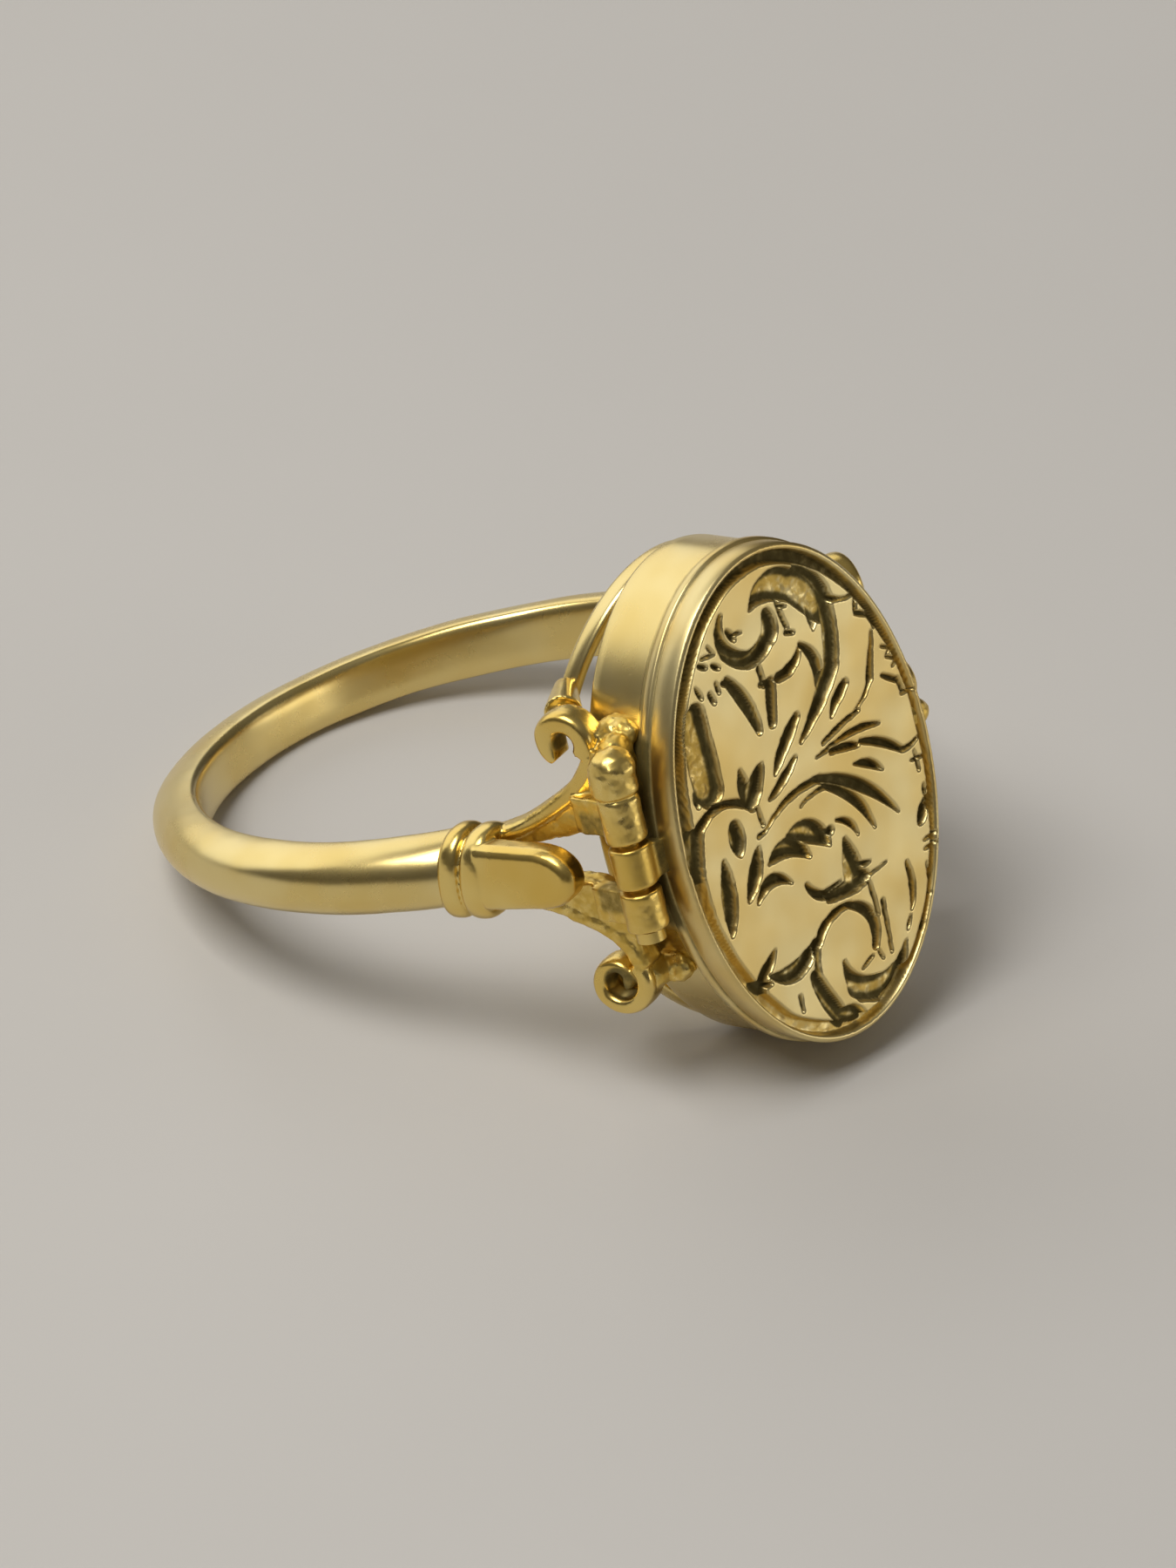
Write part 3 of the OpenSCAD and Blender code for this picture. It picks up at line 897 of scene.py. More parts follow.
    def solder(self) -> list[Shell]:
        """Lumps of solder that tie each scroll to the box's wall and to the gallery strip's end.

        Returns:
            Their skins, in ring space.
        """
        made = []
        for i, up in enumerate((1, -1)):
            x, y, z = self.scroll_x, -self.scroll_y, up * (self.scroll_z - 0.1)
            made.append(rod((x + 0.75, y + 0.2, z), (x + 0.75, -3.9, z), 0.4, Surface.CAST, 1.1))
            made.append(ball((x + 0.95, -4.55, z), (0.75, 0.42, 0.5), Surface.CAST, 0.12, i))
            tip = (8.3, -3.98, up * 4.15)
            made.append(rod((x - 0.5, y + 0.3, z + up * 0.45), tip, 0.4, Surface.POLISHED))
            made.append(ball(tip, (0.42, 0.4, 0.42), Surface.POLISHED))
            made.append(rod((8.35, -3.85, up * 4.5), (9.4, -5.05, up * 4.3), 0.34, Surface.POLISHED, 1.7))
        return made


@dataclass
class HingeKnuckles:
    """The box's three knuckles, their legs and the solder round them."""

    x: float = 11.9
    y: float = 5.95
    radius: float = 0.62
    end: tuple[float, float] = (2.44, 3.55)
    upper: tuple[float, float] = (1.0, 2.37)
    lower: tuple[float, float] = (-1.75, -0.55)

    def barrel(self, low: float, high: float, radius: float) -> Shell:
        """One knuckle, with softened ends and shallow dents.

        Args:
            low: its lower end along the finger.
            high: its upper end.
            radius: its radius.

        Returns:
            Its skin.
        """
        soft = 0.08
        rings = []
        for z, inset in ((low, soft), (low + soft * 0.3, soft * 0.3), (low + soft, 0.0),
                         (high - soft, 0.0), (high - soft * 0.3, soft * 0.3), (high, soft)):
            ring = []
            for c, n in compass(36):
                r = (radius - inset) * (1 + 0.05 * noise.noise(Vector((c * 1.4, n * 1.4, z * 0.9))))
                ring.append((self.x + r * c, -self.y + r * n, z))
            rings.append(np.array(ring))
        return rings_shell(rings, Surface.SOFT)

    def shells(self) -> list[Shell]:
        """The box's knuckles and what carries them.

        Returns:
            Their skins.
        """
        x, y = self.x, self.y
        made = [self.barrel(*self.upper, self.radius), self.barrel(*self.lower, self.radius),
                self.barrel(self.end[0] - 0.1, self.end[0] + 0.1, 0.56),
                self.barrel(self.end[0] + 0.02, self.end[1] - 0.3, 0.69),
                ball((x + 0.04, -y + 0.02, self.end[1] - 0.3), (0.7, 0.69, 0.6), Surface.SOFT, 0.08, 2)]
        for low, high in ((1.1, 2.25), (-1.65, -0.6)):
            made.append(self.block((x - 1.8, -y - 0.28, low), (x - 0.25, -y + 0.36, high)))
        for low, high in ((1.3, 3.6), (-1.65, -0.7)):
            made.append(self.block((x - 0.9, -y + 0.1, low), (x - 0.3, -y + 1.35, high)))
        for inward, rise, z, radii, lump, seed in (
                (0.55, 0.8, 3.35, (0.45, 0.6, 0.55), 0.12, 3), (0.7, 0.4, 2.3, (0.4, 0.4, 0.42), 0.15, 4),
                (0.65, 0.35, -1.65, (0.4, 0.42, 0.36), 0.15, 6)):
            made.append(ball((x - inward, -y + rise, z), radii, Surface.CAST, lump, seed))
        return made

    def block(self, low: Sequence[float], high: Sequence[float]) -> Shell:
        """A leg of cast metal."""
        outline = np.array([(low[0], low[2]), (high[0], low[2]), (high[0], high[2]), (low[0], high[2])])
        return plate(outline, low[1], high[1], 0.08, Surface.CAST)


@dataclass
class CastWork:
    """Both shoulders and the box's knuckles, fused as casting and solder leave them."""

    shoulder: Shoulder = field(default_factory=Shoulder)
    knuckles: HingeKnuckles = field(default_factory=HingeKnuckles)
    voxel: float = 0.045
    smooth_grain: float = 0.004
    cast_grain: float = 0.03

    def build(self, space: RingSpace, finish: bpy.types.Material) -> list[bpy.types.Object]:
        """Builds one fused piece for each side.

        Args:
            space: the ring's own axes.
            finish: their material.

        Returns:
            The two shoulders.
        """
        made = []
        side = self.shoulder.shells()
        for name, shells in (("shoulder_hinge_side", side + self.knuckles.shells()),
                             ("shoulder_catch_side", [s.mirrored(1) for s in side])):
            verts, faces, cast = fuse(shells, self.voxel, 5)
            rough = np.array([noise.noise(Vector(p) * 2.6) + 0.5 * noise.noise(Vector(p) * 6.0)
                              for p in verts])
            out = self.normals(verts, faces)
            verts = verts + out * (rough * (self.smooth_grain + self.cast_grain * cast))[:, None]
            # Tarnish in the hollows, with painted shade inside the scrolls and in the corners between the
            # legs.
            dark = np.maximum.reduce([self.hollow(verts, faces, out), self.painted_eye_shade(verts), self.painted_leg_shade(verts)])
            made.append(Piece(name, RING, "gold", ("ring_body",)).add(
                space, verts, faces, finish, {"cast": cast, "patina": dark}))
        return made

    def painted_eye_shade(self, verts: np.ndarray) -> np.ndarray:
        """Painted shade on the inside of each rolled strap.

        Args:
            verts: the fused points.

        Returns:
            A share from 0 to 1 for each point.
        """
        shape = self.shoulder
        run = shape.run() / np.linalg.norm(shape.run())
        along = (verts[:, 0] - shape.scroll_x) * run[0] + (np.abs(verts[:, 1]) - shape.scroll_y) * run[1]
        dark = np.zeros(len(verts))
        for i, up in enumerate((1, -1)):
            height = verts[:, 2] - up * (shape.scroll_z - shape.scroll_drop[i])
            inner = shape.scroll_r[i] - shape.strap_t[i]
            dark = np.maximum(dark, between(np.hypot(along, height), inner + 0.1, inner))
        return dark * 0.75

    @staticmethod
    def painted_leg_shade(verts: np.ndarray) -> np.ndarray:
        """Painted shade in the corners between the legs, the webs and the knuckles.

        Args:
            verts: the fused points.

        Returns:
            A share from 0 to 1 for each point.
        """
        x, y, z = verts.T
        across = between(x, 10.25, 10.45) * between(x, 11.42, 11.27) * between(y, -5.3, -5.5)
        upper = between(z, 0.7, 0.9) * between(z, 2.0, 1.7)
        lower = between(z, -1.5, -1.2) * between(z, -0.35, -0.55)
        return across * np.maximum(upper, lower) * 0.6

    @staticmethod
    def normals(verts: np.ndarray, faces: np.ndarray) -> np.ndarray:
        """Outward directions at a skin's points.

        Args:
            verts: the points.
            faces: the four-sided faces.

        Returns:
            A unit vector for each point.
        """
        a, b, c, d = (verts[faces[:, i]] for i in range(4))
        flat = np.cross(c - a, d - b)
        out = np.zeros_like(verts)
        for i in range(4):
            np.add.at(out, faces[:, i], flat)
        return unit_rows(out)

    @staticmethod
    def hollow(verts: np.ndarray, faces: np.ndarray, out: np.ndarray, rounds: int = 45) -> np.ndarray:
        """How sunk each point lies among its neighbours, which is where tarnish gathers.

        Args:
            verts: the skin's points.
            faces: its four-sided faces.
            out: the outward directions at the points.
            rounds: how many cells away the neighbours may lie, squared.

        Returns:
            A share from 0 to 1 for each point.
        """
        start, end = faces.ravel(), np.roll(faces, -1, axis=1).ravel()
        count = np.maximum(np.bincount(start, minlength=len(verts)), 1)[:, None]
        relaxed = verts
        for _ in range(rounds):
            relaxed = np.stack([np.bincount(start, relaxed[end, k], len(verts)) for k in range(3)], 1) / count
        sunk = np.einsum("ij,ij->i", relaxed - verts, out)
        return between(sunk, 0.039, 0.15)


def painted_hinge_shade(y: np.ndarray, z: np.ndarray) -> np.ndarray:
    """Painted shade: how far a point of the box's or the lid's side lies in the shadow behind the knuckles.

    Args:
        y: the points' y values.
        z: their z values.

    Returns:
        A share from 0 to 1 for each point.
    """
    return between(z, 3.9, 3.4) * between(z, -2.5, -2.0) * (y < -3.0)


@dataclass
class Box:
    """The oval tray."""

    half_l: float = 7.5
    half_w: float = 5.05
    floor_x: float = 9.55
    floor_t: float = 0.6
    top_x: float = 11.85
    wall_t: float = 0.7

    def build(self, space: RingSpace, finish: bpy.types.Material) -> bpy.types.Object:
        """Builds the tray.

        Args:
            space: the ring's own axes.
            finish: its material.

        Returns:
            The tray.
        """
        low, top, wall = self.floor_x, self.top_x, self.wall_t
        inner = low + self.floor_t
        profile = (
            (2.0, low), (0.3, low), (0.1, low + 0.01), (0.02, low + 0.05), (0.0, low + 0.12),
            *((0.0, x) for x in np.linspace(low + 0.4, top - 0.25, 8)),
            (0.0, top - 0.1), (0.02, top - 0.03), (0.06, top),
            (wall - 0.06, top), (wall - 0.01, top - 0.03), (wall, top - 0.1),
            (wall + 0.02, inner + 0.2), (wall + 0.2, inner + 0.02), (wall + 0.4, inner), (2.0, inner))
        rings = [oval(self.half_l, self.half_w, inset, x) for inset, x in profile]
        shell = rings_shell(rings)
        inside = np.concatenate([np.full(len(ring), 0.5 if inset > wall - 0.03 else 0.0)
                                 for ring, (inset, _) in zip(rings, profile)])
        # Half the dark share on the tray's inner wall and floor, with painted shade behind the knuckles and
        # the dark seam line.
        dark = np.maximum(inside, self.shade_and_tarnish(shell.verts))
        return Piece("box", RING, "gold", ("ring_body",)).add(
            space, shell.verts, shell.faces, finish, {"patina": dark})

    @staticmethod
    def shade_and_tarnish(verts: np.ndarray) -> np.ndarray:
        """Painted shade on the wall behind the knuckles, and the dark line along the seam.

        Args:
            verts: the tray's points.

        Returns:
            A share from 0 to 1 for each point.
        """
        x, y, z = verts.T
        behind = between(x, 10.6, 11.1) * painted_hinge_shade(y, z)
        return np.maximum(behind, between(x, 11.68, 11.78) * 0.7)


@dataclass
class Gallery:
    """The slim strips that follow the finger's curve under the box's two ends."""

    half_l: float = 7.32
    half_w: float = 4.87
    thickness: float = 0.42
    low_r: float = 8.9
    height: float = 0.76
    top_r: float = 8.0
    end_z: float = 3.95
    square: float = 3.2

    def build(self, space: RingSpace, finish: bpy.types.Material) -> list[bpy.types.Object]:
        """Builds both strips.

        Args:
            space: the ring's own axes.
            finish: their material.

        Returns:
            The upper strip and the lower strip.
        """
        made = []
        limit = math.asin(self.end_z / self.half_l)
        for name, turn in (("gallery_upper", 1), ("gallery_lower", -1)):
            rings = []
            for a in np.linspace(limit, math.pi - limit, 97):
                y, z = self.half_w * math.cos(a), self.half_l * math.sin(a)
                inward = -np.array([math.cos(a) / self.half_w, math.sin(a) / self.half_l])
                inward = inward / np.linalg.norm(inward)
                low = math.sqrt(self.low_r ** 2 - y ** 2)
                high = self.low_r + self.height - self.top_r + math.sqrt(self.top_r ** 2 - y ** 2)
                ring = []
                for c, n in compass(20):
                    up = squared(c, self.square) * (high - low) / 2
                    deep = (1 + squared(n, self.square)) * self.thickness / 2
                    ring.append(((high + low) / 2 + up, y + inward[0] * deep, turn * (z + inward[1] * deep)))
                rings.append(np.array(ring))
            shell = rings_shell(rings if turn > 0 else rings[::-1])
            made.append(Piece(name, RING, "gold", ("ring_body",)).add(
                space, shell.verts, shell.faces, finish))
        return made


@dataclass
class LidEngraving:
    """The acanthus scrolls cut into the lid's face, charted across and along the finger.

    Each row of cuts and marks is a Stroke. The chart's half sizes are stretched to the lid's.
    """

    chart: tuple[float, float] = (4.86, 7.35)
    slant: float = 0.037
    depth: float = 0.31
    fine_depth: float = 0.2
    wall: float = 0.085
    bold: float = 1.32
    cuts: tuple[tuple[float, ...], ...] = (
        (-0.45, 5.68, 1.3, 5.7, 0.38, 0.05, 0.62, 0.68), (1.2, 5.8, 2.05, 4.75, 0.12, 0.66, 0.82, 0.6),
        (1.75, 4.95, 1.6, 4.28, 0, 0.45, 0.28, 0.05), (1.45, 6.25, 2.35, 4.95, 0.12, 0.12, 0.35, 0.3),
        (2.25, 5.0, 3.05, 4.68, -0.05, 0.3, 0.12, 0.08), (2.22, 4.8, 1.9, 3.0, 0.08, 0.38, 0.42, 0.4),
        (1.95, 3.1, 0.25, 1.45, 0.08, 0.42, 0.35, 0.1), (-1.5, 5.92, -1.55, 4.85, -0.18, 0.12, 0.25, 0.33),
        (-1.6, 4.9, 0.1, 4.85, -0.5, 0.35, 0.38, 0.4), (0.05, 4.75, 0.1, 5.38, -0.07, 0.45, 0.42, 0.25),
        (0.0, 3.5, 1.0, 4.05, -0.18, 0.22, 0.25, 0.08), (1.0, 4.1, 1.35, 2.75, 0.22, 0.08, 0.28, 0.2),
        (-1.8, 4.1, -1.08, 2.3, 0.12, 0.2, 0.33, 0.16), (-0.32, 3.45, -0.58, 2.35, 0, 0.28, 0.28, 0.22),
        (-3.14, 3.62, -3.27, 1.42, -0.09, 0.52, 0.8, 0.75), (-3.5, 1.4, -2.95, 1.2, 0, 0.2, 0.3, 0.15),
        (-2.25, 0.6, -4.0, 0.5, -0.3, 0.2, 0.18, 0.3), (-3.95, 0.55, -4.25, -1.0, -0.25, 0.25, 0.5, 0.12),
        (-3.4, -0.7, -3.7, -2.8, 0.05, 0.12, 0.42, 0.1), (-2.75, 0.05, -2.75, -0.75, 0, 0.35, 0.42, 0.1),
        (-2.1, -0.8, -2.85, -2.1, 0.05, 0.1, 0.38, 0.1), (-2.1, 1.5, -2.1, 0.55, 0, 0.12, 0.32, 0.25),
        (-1.3, 1.4, -1.95, 0.45, -0.05, 0.1, 0.42, 0.3), (0.3, 2.2, -0.9, 0.95, -0.05, 0.18, 0.3, 0.1),
        (-0.1, 1.1, -1.3, 0.35, 0.05, 0.12, 0.22, 0.1), (2.25, 2.4, 1.5, 1.7, -0.05, 0.2, 0.25, 0.08),
        (3.6, 3.45, 3.15, 2.2, 0, 0.06, 0.14, 0.2), (1.5, 0.95, 3.1, 0.85, 0.1, 0.08, 0.16, 0.06),
        (1.2, 0.75, 2.2, 0.55, 0.05, 0.12, 0.18, 0.1), (2.3, 0.62, 3.7, -0.2, 0.1, 0.1, 0.2, 0.12),
        (1.9, 0.1, 2.85, -0.45, 0.1, 0.05, 0.2, 0.05), (-1.65, -0.4, 0.6, 0.2, 0.22, 0.08, 0.16, 0.18),
        (0.5, 0.2, 3.05, -1.8, 0.3, 0.18, 0.28, 0.06), (0.65, -0.05, 2.1, -1.9, 0.28, 0.12, 0.25, 0.06),
        (-1.85, -1.4, -0.4, -1.75, 0.38, 0.08, 0.42, 0.1), (-0.95, -0.95, 0.4, -1.75, 0.28, 0.2, 0.5, 0.06),
        (-2.55, -2.3, -1.25, -2.2, 0.38, 0.08, 0.28, 0.06), (0.8, -1.15, 1.45, -1.85, 0.15, 0.06, 0.14, 0.06),
        (0.95, -1.8, 1.0, -3.0, 0, 0.12, 0.45, 0.6), (-0.1, -3.2, 1.3, -3.1, 0, 0.15, 0.35, 0.35),
        (-0.75, -2.5, -0.05, -3.05, -0.12, 0.12, 0.2, 0.2), (-0.8, -4.2, 0.6, -3.62, 0.22, 0.25, 0.2, 0.12),
        (0.5, -3.62, 1.15, -5.1, 0.42, 0.12, 0.28, 0.2), (-0.85, -4.2, -1.15, -5.2, 0, 0.22, 0.15, 0.3),
        (-1.2, -5.1, -0.5, -6.75, -0.08, 0.3, 0.42, 0.35), (-0.55, -6.55, 0.2, -6.9, 0.05, 0.3, 0.42, 0.15),
        (-0.08, -5.1, 0.35, -6.1, -0.12, 0.1, 0.32, 0.55), (0.1, -5.92, 2.25, -5.4, -0.63, 0.45, 0.53, 0.06),
        (-2.7, -4.45, -0.92, -4.1, -0.37, 0.1, 0.43, 0.12), (-2.38, -3.8, -3.1, -4.45, 0, 0.08, 0.28, 0.3),
        (-3.2, -4.55, -2.75, -4.65, 0, 0.2, 0.18, 0.08), (-3.25, -4.5, -3.05, -4.85, 0, 0.25, 0.25, 0.15),
        (4.15, -1.8, 3.75, -2.4, 0, 0.1, 0.28, 0.2), (2.9, -3.3, 2.7, -4.65, 0.12, 0.1, 0.18, 0.06))
    marks: tuple[tuple[float, ...], ...] = (
        (3.05, 4.7, 3.4, 4.72, 0, 0.08, 0.1, 0.1), (3.35, 4.75, 3.2, 4.2, 0, 0.08, 0.1, 0.1),
        (3.2, 4.15, 3.6, 3.95, 0, 0.1, 0.12, 0.08), (3.55, 4.0, 3.7, 3.5, 0.08, 0.1, 0.14, 0.05),
        (-1.4, 5.45, -1.2, 5.1, 0, 0.08, 0.15, 0.08), (-1.25, 5.2, -0.9, 5.2, 0.05, 0.1, 0.08, 0.04),
        (0.58, 5.65, 0.72, 4.7, -0.05, 0.14, 0.12, 0.12), (0.6, 5.4, 0.85, 5.3, 0, 0.08, 0.08, 0.05),
        (0.62, 4.6, 0.9, 4.48, 0, 0.1, 0.1, 0.08), (-1.95, 4.1, -1.6, 3.95, 0, 0.12, 0.15, 0.15),
        (-0.6, 4.0, -0.55, 3.5, 0, 0.15, 0.14, 0.15), (-0.7, 3.55, -0.4, 3.55, 0, 0.1, 0.1, 0.1),
        (-3.8, 1.5, -3.8, 1.15, 0, 0.15, 0.2, 0.12), (-1.8, 0.25, -1.75, -0.25, 0, 0.1, 0.1, 0.1),
        (-2.0, -0.5, -1.7, -0.45, 0, 0.1, 0.1, 0.1), (3.2, 2.3, 2.4, 1.55, 0.1, 0.15, 0.1, 0.06),
        (2.5, 1.5, 1.0, 1.1, -0.03, 0.08, 0.12, 0.1), (0.65, 0.8, 1.5, 0.95, 0, 0.05, 0.1, 0.08),
        (3.6, -0.15, 4.35, -0.05, -0.1, 0.1, 0.12, 0.06), (-0.3, -0.3, 0.7, -0.1, 0.08, 0.05, 0.08, 0.1),
        (0.4, -1.35, 0.6, -1.35, 0, 0.1, 0.2, 0.08), (-0.5, -2.9, 0.45, -2.85, -0.1, 0.1, 0.18, 0.05),
        (1.2, -2.7, 1.65, -2.75, 0, 0.15, 0.12, 0.05), (1.2, -3.15, 2.2, -3.0, 0, 0.08, 0.06, 0.05),
        (0.95, -5.35, 0.5, -5.55, 0, 0.08, 0.08, 0.05), (1.45, -3.35, 1.5, -4.3, 0, 0.1, 0.1, 0.08),
        (1.75, -4.0, 1.65, -5.5, 0, 0.12, 0.1, 0.08), (1.2, -5.3, 1.3, -5.55, 0, 0.08, 0.08, 0.06),
        (-1.9, -5.4, -1.9, -5.85, 0, 0.1, 0.1, 0.08), (3.6, 2.1, 4.1, 1.75, 0, 0.08, 0.12, 0.1),
        (4.1, 1.8, 4.2, 1.35, 0, 0.1, 0.12, 0.1), (4.15, 1.35, 4.6, 1.3, 0, 0.1, 0.08, 0.06),
        (3.8, 2.9, 4.1, 2.75, 0, 0.05, 0.07, 0.05), (4.1, 2.75, 3.9, 2.55, 0, 0.05, 0.07, 0.05),
        (3.9, 2.55, 4.25, 2.35, 0, 0.05, 0.07, 0.05), (4.25, 2.35, 4.05, 2.2, 0, 0.05, 0.07, 0.05),
        (4.1, -0.4, 4.1, -1.0, 0, 0.06, 0.1, 0.06), (3.9, -0.6, 4.4, -0.65, 0, 0.05, 0.08, 0.05),
        (4.15, -1.45, 4.1, -1.7, 0, 0.08, 0.12, 0.08), (3.7, -2.95, 4.2, -2.9, 0, 0.06, 0.08, 0.06),
        (3.65, -3.2, 4.2, -3.15, 0, 0.06, 0.08, 0.06), (2.6, -4.8, 2.4, -5.15, 0, 0.06, 0.1, 0.05),
        (3.35, -4.6, 2.9, -5.4, 0, 0.05, 0.08, 0.05), (3.6, -3.6, 3.5, -4.5, 0, 0.05, 0.07, 0.05),
        (-2.5, 5.05, -2.0, 5.0, 0, 0.06, 0.08, 0.05), (-2.65, 4.9, -2.4, 4.75, 0, 0.08, 0.12, 0.08),
        (-2.2, 5.3, -2.05, 5.05, 0, 0.06, 0.08, 0.06), (-2.2, 4.75, -1.95, 4.55, 0, 0.06, 0.12, 0.08),
        (-2.95, 4.35, -2.8, 4.0, 0, 0.06, 0.12, 0.1), (-2.5, 4.0, -2.4, 3.7, 0, 0.12, 0.15, 0.1),
        (-2.2, 4.2, -2.15, 3.9, 0, 0.08, 0.12, 0.08))

    def inside(self, y: np.ndarray, z: np.ndarray, strokes: Sequence[Sequence[float]],
               size: tuple[float, float]) -> np.ndarray:
        """How far inside the nearest stroke each point lies.

        Args:
            y: the points' places across the finger, in mm.
            z: their places along it.
            strokes: the rows of the chart.
            size: the lid's half sizes, across and along.

        Returns:
            Distances in mm, negative outside.
        """
        ku, kv = size[0] / self.chart[0], size[1] / self.chart[1]
        far, steps = -9.0, 12
        best = np.full(y.shape, far)
        for stroke in map(Stroke._make, strokes):
            start, end = np.array([stroke.u0, stroke.v0]), np.array([stroke.u1, stroke.v1])
            run = end - start
            left = np.array([-run[1], run[0]]) / np.linalg.norm(run)
            t = np.linspace(0, 1, steps + 1)
            mid = start + run * t[:, None] + left * (stroke.bow * 4 * t * (1 - t))[:, None]
            mid = np.stack([mid[:, 0] * ku, mid[:, 1] * kv - self.slant * mid[:, 0]], 1)
            width = (stroke.w0 * (1 - t) * (1 - 2 * t) + stroke.wm * 4 * t * (1 - t)
                     + stroke.w1 * t * (2 * t - 1))
            half = np.maximum(width, 0.02) * self.bold * 0.5 * ku
            reach = half.max() + 0.15
            near = ((y > mid[:, 0].min() - reach) & (y < mid[:, 0].max() + reach)
                    & (z > mid[:, 1].min() - reach) & (z < mid[:, 1].max() + reach))
            py, pz = y[near], z[near]
            found = np.full(py.shape, far)
            for i in range(steps):
                a, b = mid[i], mid[i + 1]
                ab = b - a
                s = np.clip(((py - a[0]) * ab[0] + (pz - a[1]) * ab[1]) / (ab @ ab), 0, 1)
                away = np.hypot(py - a[0] - ab[0] * s, pz - a[1] - ab[1] * s)
                found = np.maximum(found, half[i] + (half[i + 1] - half[i]) * s - away)
            best[near] = np.maximum(best[near], found)
        return best


@dataclass
class Lid:
    """The oval lid: flange, rim, groove and engraved face, with its knuckle and thumb catch."""

    half_l: float = 7.65
    half_w: float = 5.2
    face_x: float = 13.1
    seam_x: float = 11.9
    flange_h: float = 0.3
    flange_out: float = 0.1
    flange_dark: float = 0.55
    rim_w: float = 0.16
    groove_w: float = 0.42
    groove_d: float = 0.38
    cell: float = 0.0385
    hinge_x: float = 11.9
    hinge_y: float = 5.95
    knuckle_r: float = 0.62
    knuckle_z: tuple[float, float] = (-0.4, 0.85)
    voxel: float = 0.045
    engraving: LidEngraving = field(default_factory=LidEngraving)

    @property
    def face_half(self) -> tuple[float, float]:
        """Half the face's size across the finger and along it."""
        return self.half_w - self.flange_out, self.half_l - self.flange_out

    def edge_distance(self, y: np.ndarray, z: np.ndarray) -> np.ndarray:
        """How far inside the face's outline each point lies.

        Args:
            y: the points' places across the finger, in mm.
            z: their places along it.

        Returns:
            Distances in mm.
        """
        b, a = self.face_half
        e = np.zeros(y.shape)
        for _ in range(12):
            f = (y / (b - e)) ** 2 + (z / (a - e)) ** 2 - 1
            slope = 2 * y ** 2 / (b - e) ** 3 + 2 * z ** 2 / (a - e) ** 3
            e = np.clip(e - f / np.maximum(slope, 0.05), -1.0, b - 0.4)
        return e

    @staticmethod
    def smooth(value: np.ndarray, low: float, high: float) -> np.ndarray:
        """Rises smoothly from 0 to 1 as the value passes from low to high."""
        t = between(value, low, high)
        return t * t * (3 - 2 * t)

    def relief(self, y: np.ndarray, z: np.ndarray) -> tuple[np.ndarray, np.ndarray, np.ndarray]:
        """The face's depth, and where it carries tarnish, painted shade or cast roughness.

        Args:
            y: places across the finger, in mm.
            z: places along it.

        Returns:
            The depth below the rim, the share of tarnish and painted shade, and the share of cast roughness.
        """
        e = self.edge_distance(y, z)
        wobble = np.array([noise.noise(Vector((p, q, 4.0)) * 0.7) for p, q in zip(y, z)])
        shake = np.array([noise.noise(Vector((p, q, 1.0)) * 4.5) for p, q in zip(y, z)])
        far_side = self.smooth(y / self.half_w - 0.35 * z / self.half_l, 0.0, 0.9)
        start, end = self.rim_w, self.rim_w + self.groove_w * (1 - 0.45 * far_side + 0.25 * wobble)
        groove = self.smooth(e, start, start + 0.07) * (1 - self.smooth(e - end, -0.08, 0.0))
        size = (self.half_w, self.half_l)
        body = (y - 0.02 * shake, z + 0.02 * shake)
        main = self.engraving.inside(*body, self.engraving.cuts, size)
        fine = self.engraving.inside(*body, self.engraving.marks, size)
        wall = self.engraving.wall
        cut = self.smooth(main, -0.012, wall)
        mark = self.smooth(fine, -0.012, wall * 0.7)
        depth = np.maximum.reduce([
            groove * self.groove_d, cut * self.engraving.depth, mark * self.engraving.fine_depth])
        floor = np.maximum(self.smooth(main, wall * 0.5, wall * 1.5), groove * 0.7)
        depth = depth + floor * 0.05 * shake - 0.012 * wobble * (e > 0.3)
        rim_round = 0.05 * (1 - self.smooth(e, 0.0, 0.06)) + 0.02 * self.smooth(e, start - 0.06, start)
        wide = self.smooth(main, 0.16, 0.34)
        deep = self.smooth(cut, 0.25, 0.8)
        # Tarnish in the groove, with painted shade making it darker towards the +Z end.
        in_groove = self.smooth(groove, 0.3, 0.8) * (0.45 + 0.45 * z / self.half_l + 0.3 * wobble)
        patina = np.maximum.reduce([deep * (1 - 0.8 * wide), self.smooth(mark, 0.2, 0.7) * 0.95, in_groove])
        return depth + rim_round, patina, np.clip(floor + wide, 0, 1)

    def face_grid(self) -> tuple[np.ndarray, np.ndarray, list[int]]:
        """A fine grid over the face, fitted to its outline.

        Returns:
            The grid's places (across, along), its four-sided faces and its boundary in order.
        """
        b, a = self.face_half
        ny, nz = int(b / self.cell) + 1, int(a / self.cell) + 1
        ys, zs = np.arange(-ny, ny + 1) * self.cell, np.arange(-nz, nz + 1) * self.cell
        grid_y, grid_z = np.meshgrid(ys, zs, indexing="ij")
        keep = (grid_y / (b - 0.25 * self.cell)) ** 2 + (grid_z / (a - 0.25 * self.cell)) ** 2 < 1
        cell_in = keep[:-1, :-1] & keep[1:, :-1] & keep[1:, 1:] & keep[:-1, 1:]
        number = np.arange(grid_y.size).reshape(grid_y.shape)
        quads = np.stack([number[:-1, :-1][cell_in], number[1:, :-1][cell_in], number[1:, 1:][cell_in],
                          number[:-1, 1:][cell_in]], 1)
        used = np.unique(quads)
        remap = np.full(grid_y.size, -1)
        remap[used] = np.arange(len(used))
        quads = remap[quads]
        flat = np.stack([grid_y.ravel()[used], grid_z.ravel()[used]], 1)
        ahead = {}
        edges = {(int(q[i]), int(q[(i + 1) % 4])) for q in quads for i in range(4)}
        for i, j in edges:
            if (j, i) not in edges:
                ahead[i] = j
        loop = [next(iter(ahead))]
        while ahead[loop[-1]] != loop[0]:
            loop.append(ahead[loop[-1]])
        for i in loop:
            angle = math.atan2(flat[i, 1] / a, flat[i, 0] / b)
            flat[i] = (b * math.cos(angle), a * math.sin(angle))
        return flat, quads, loop

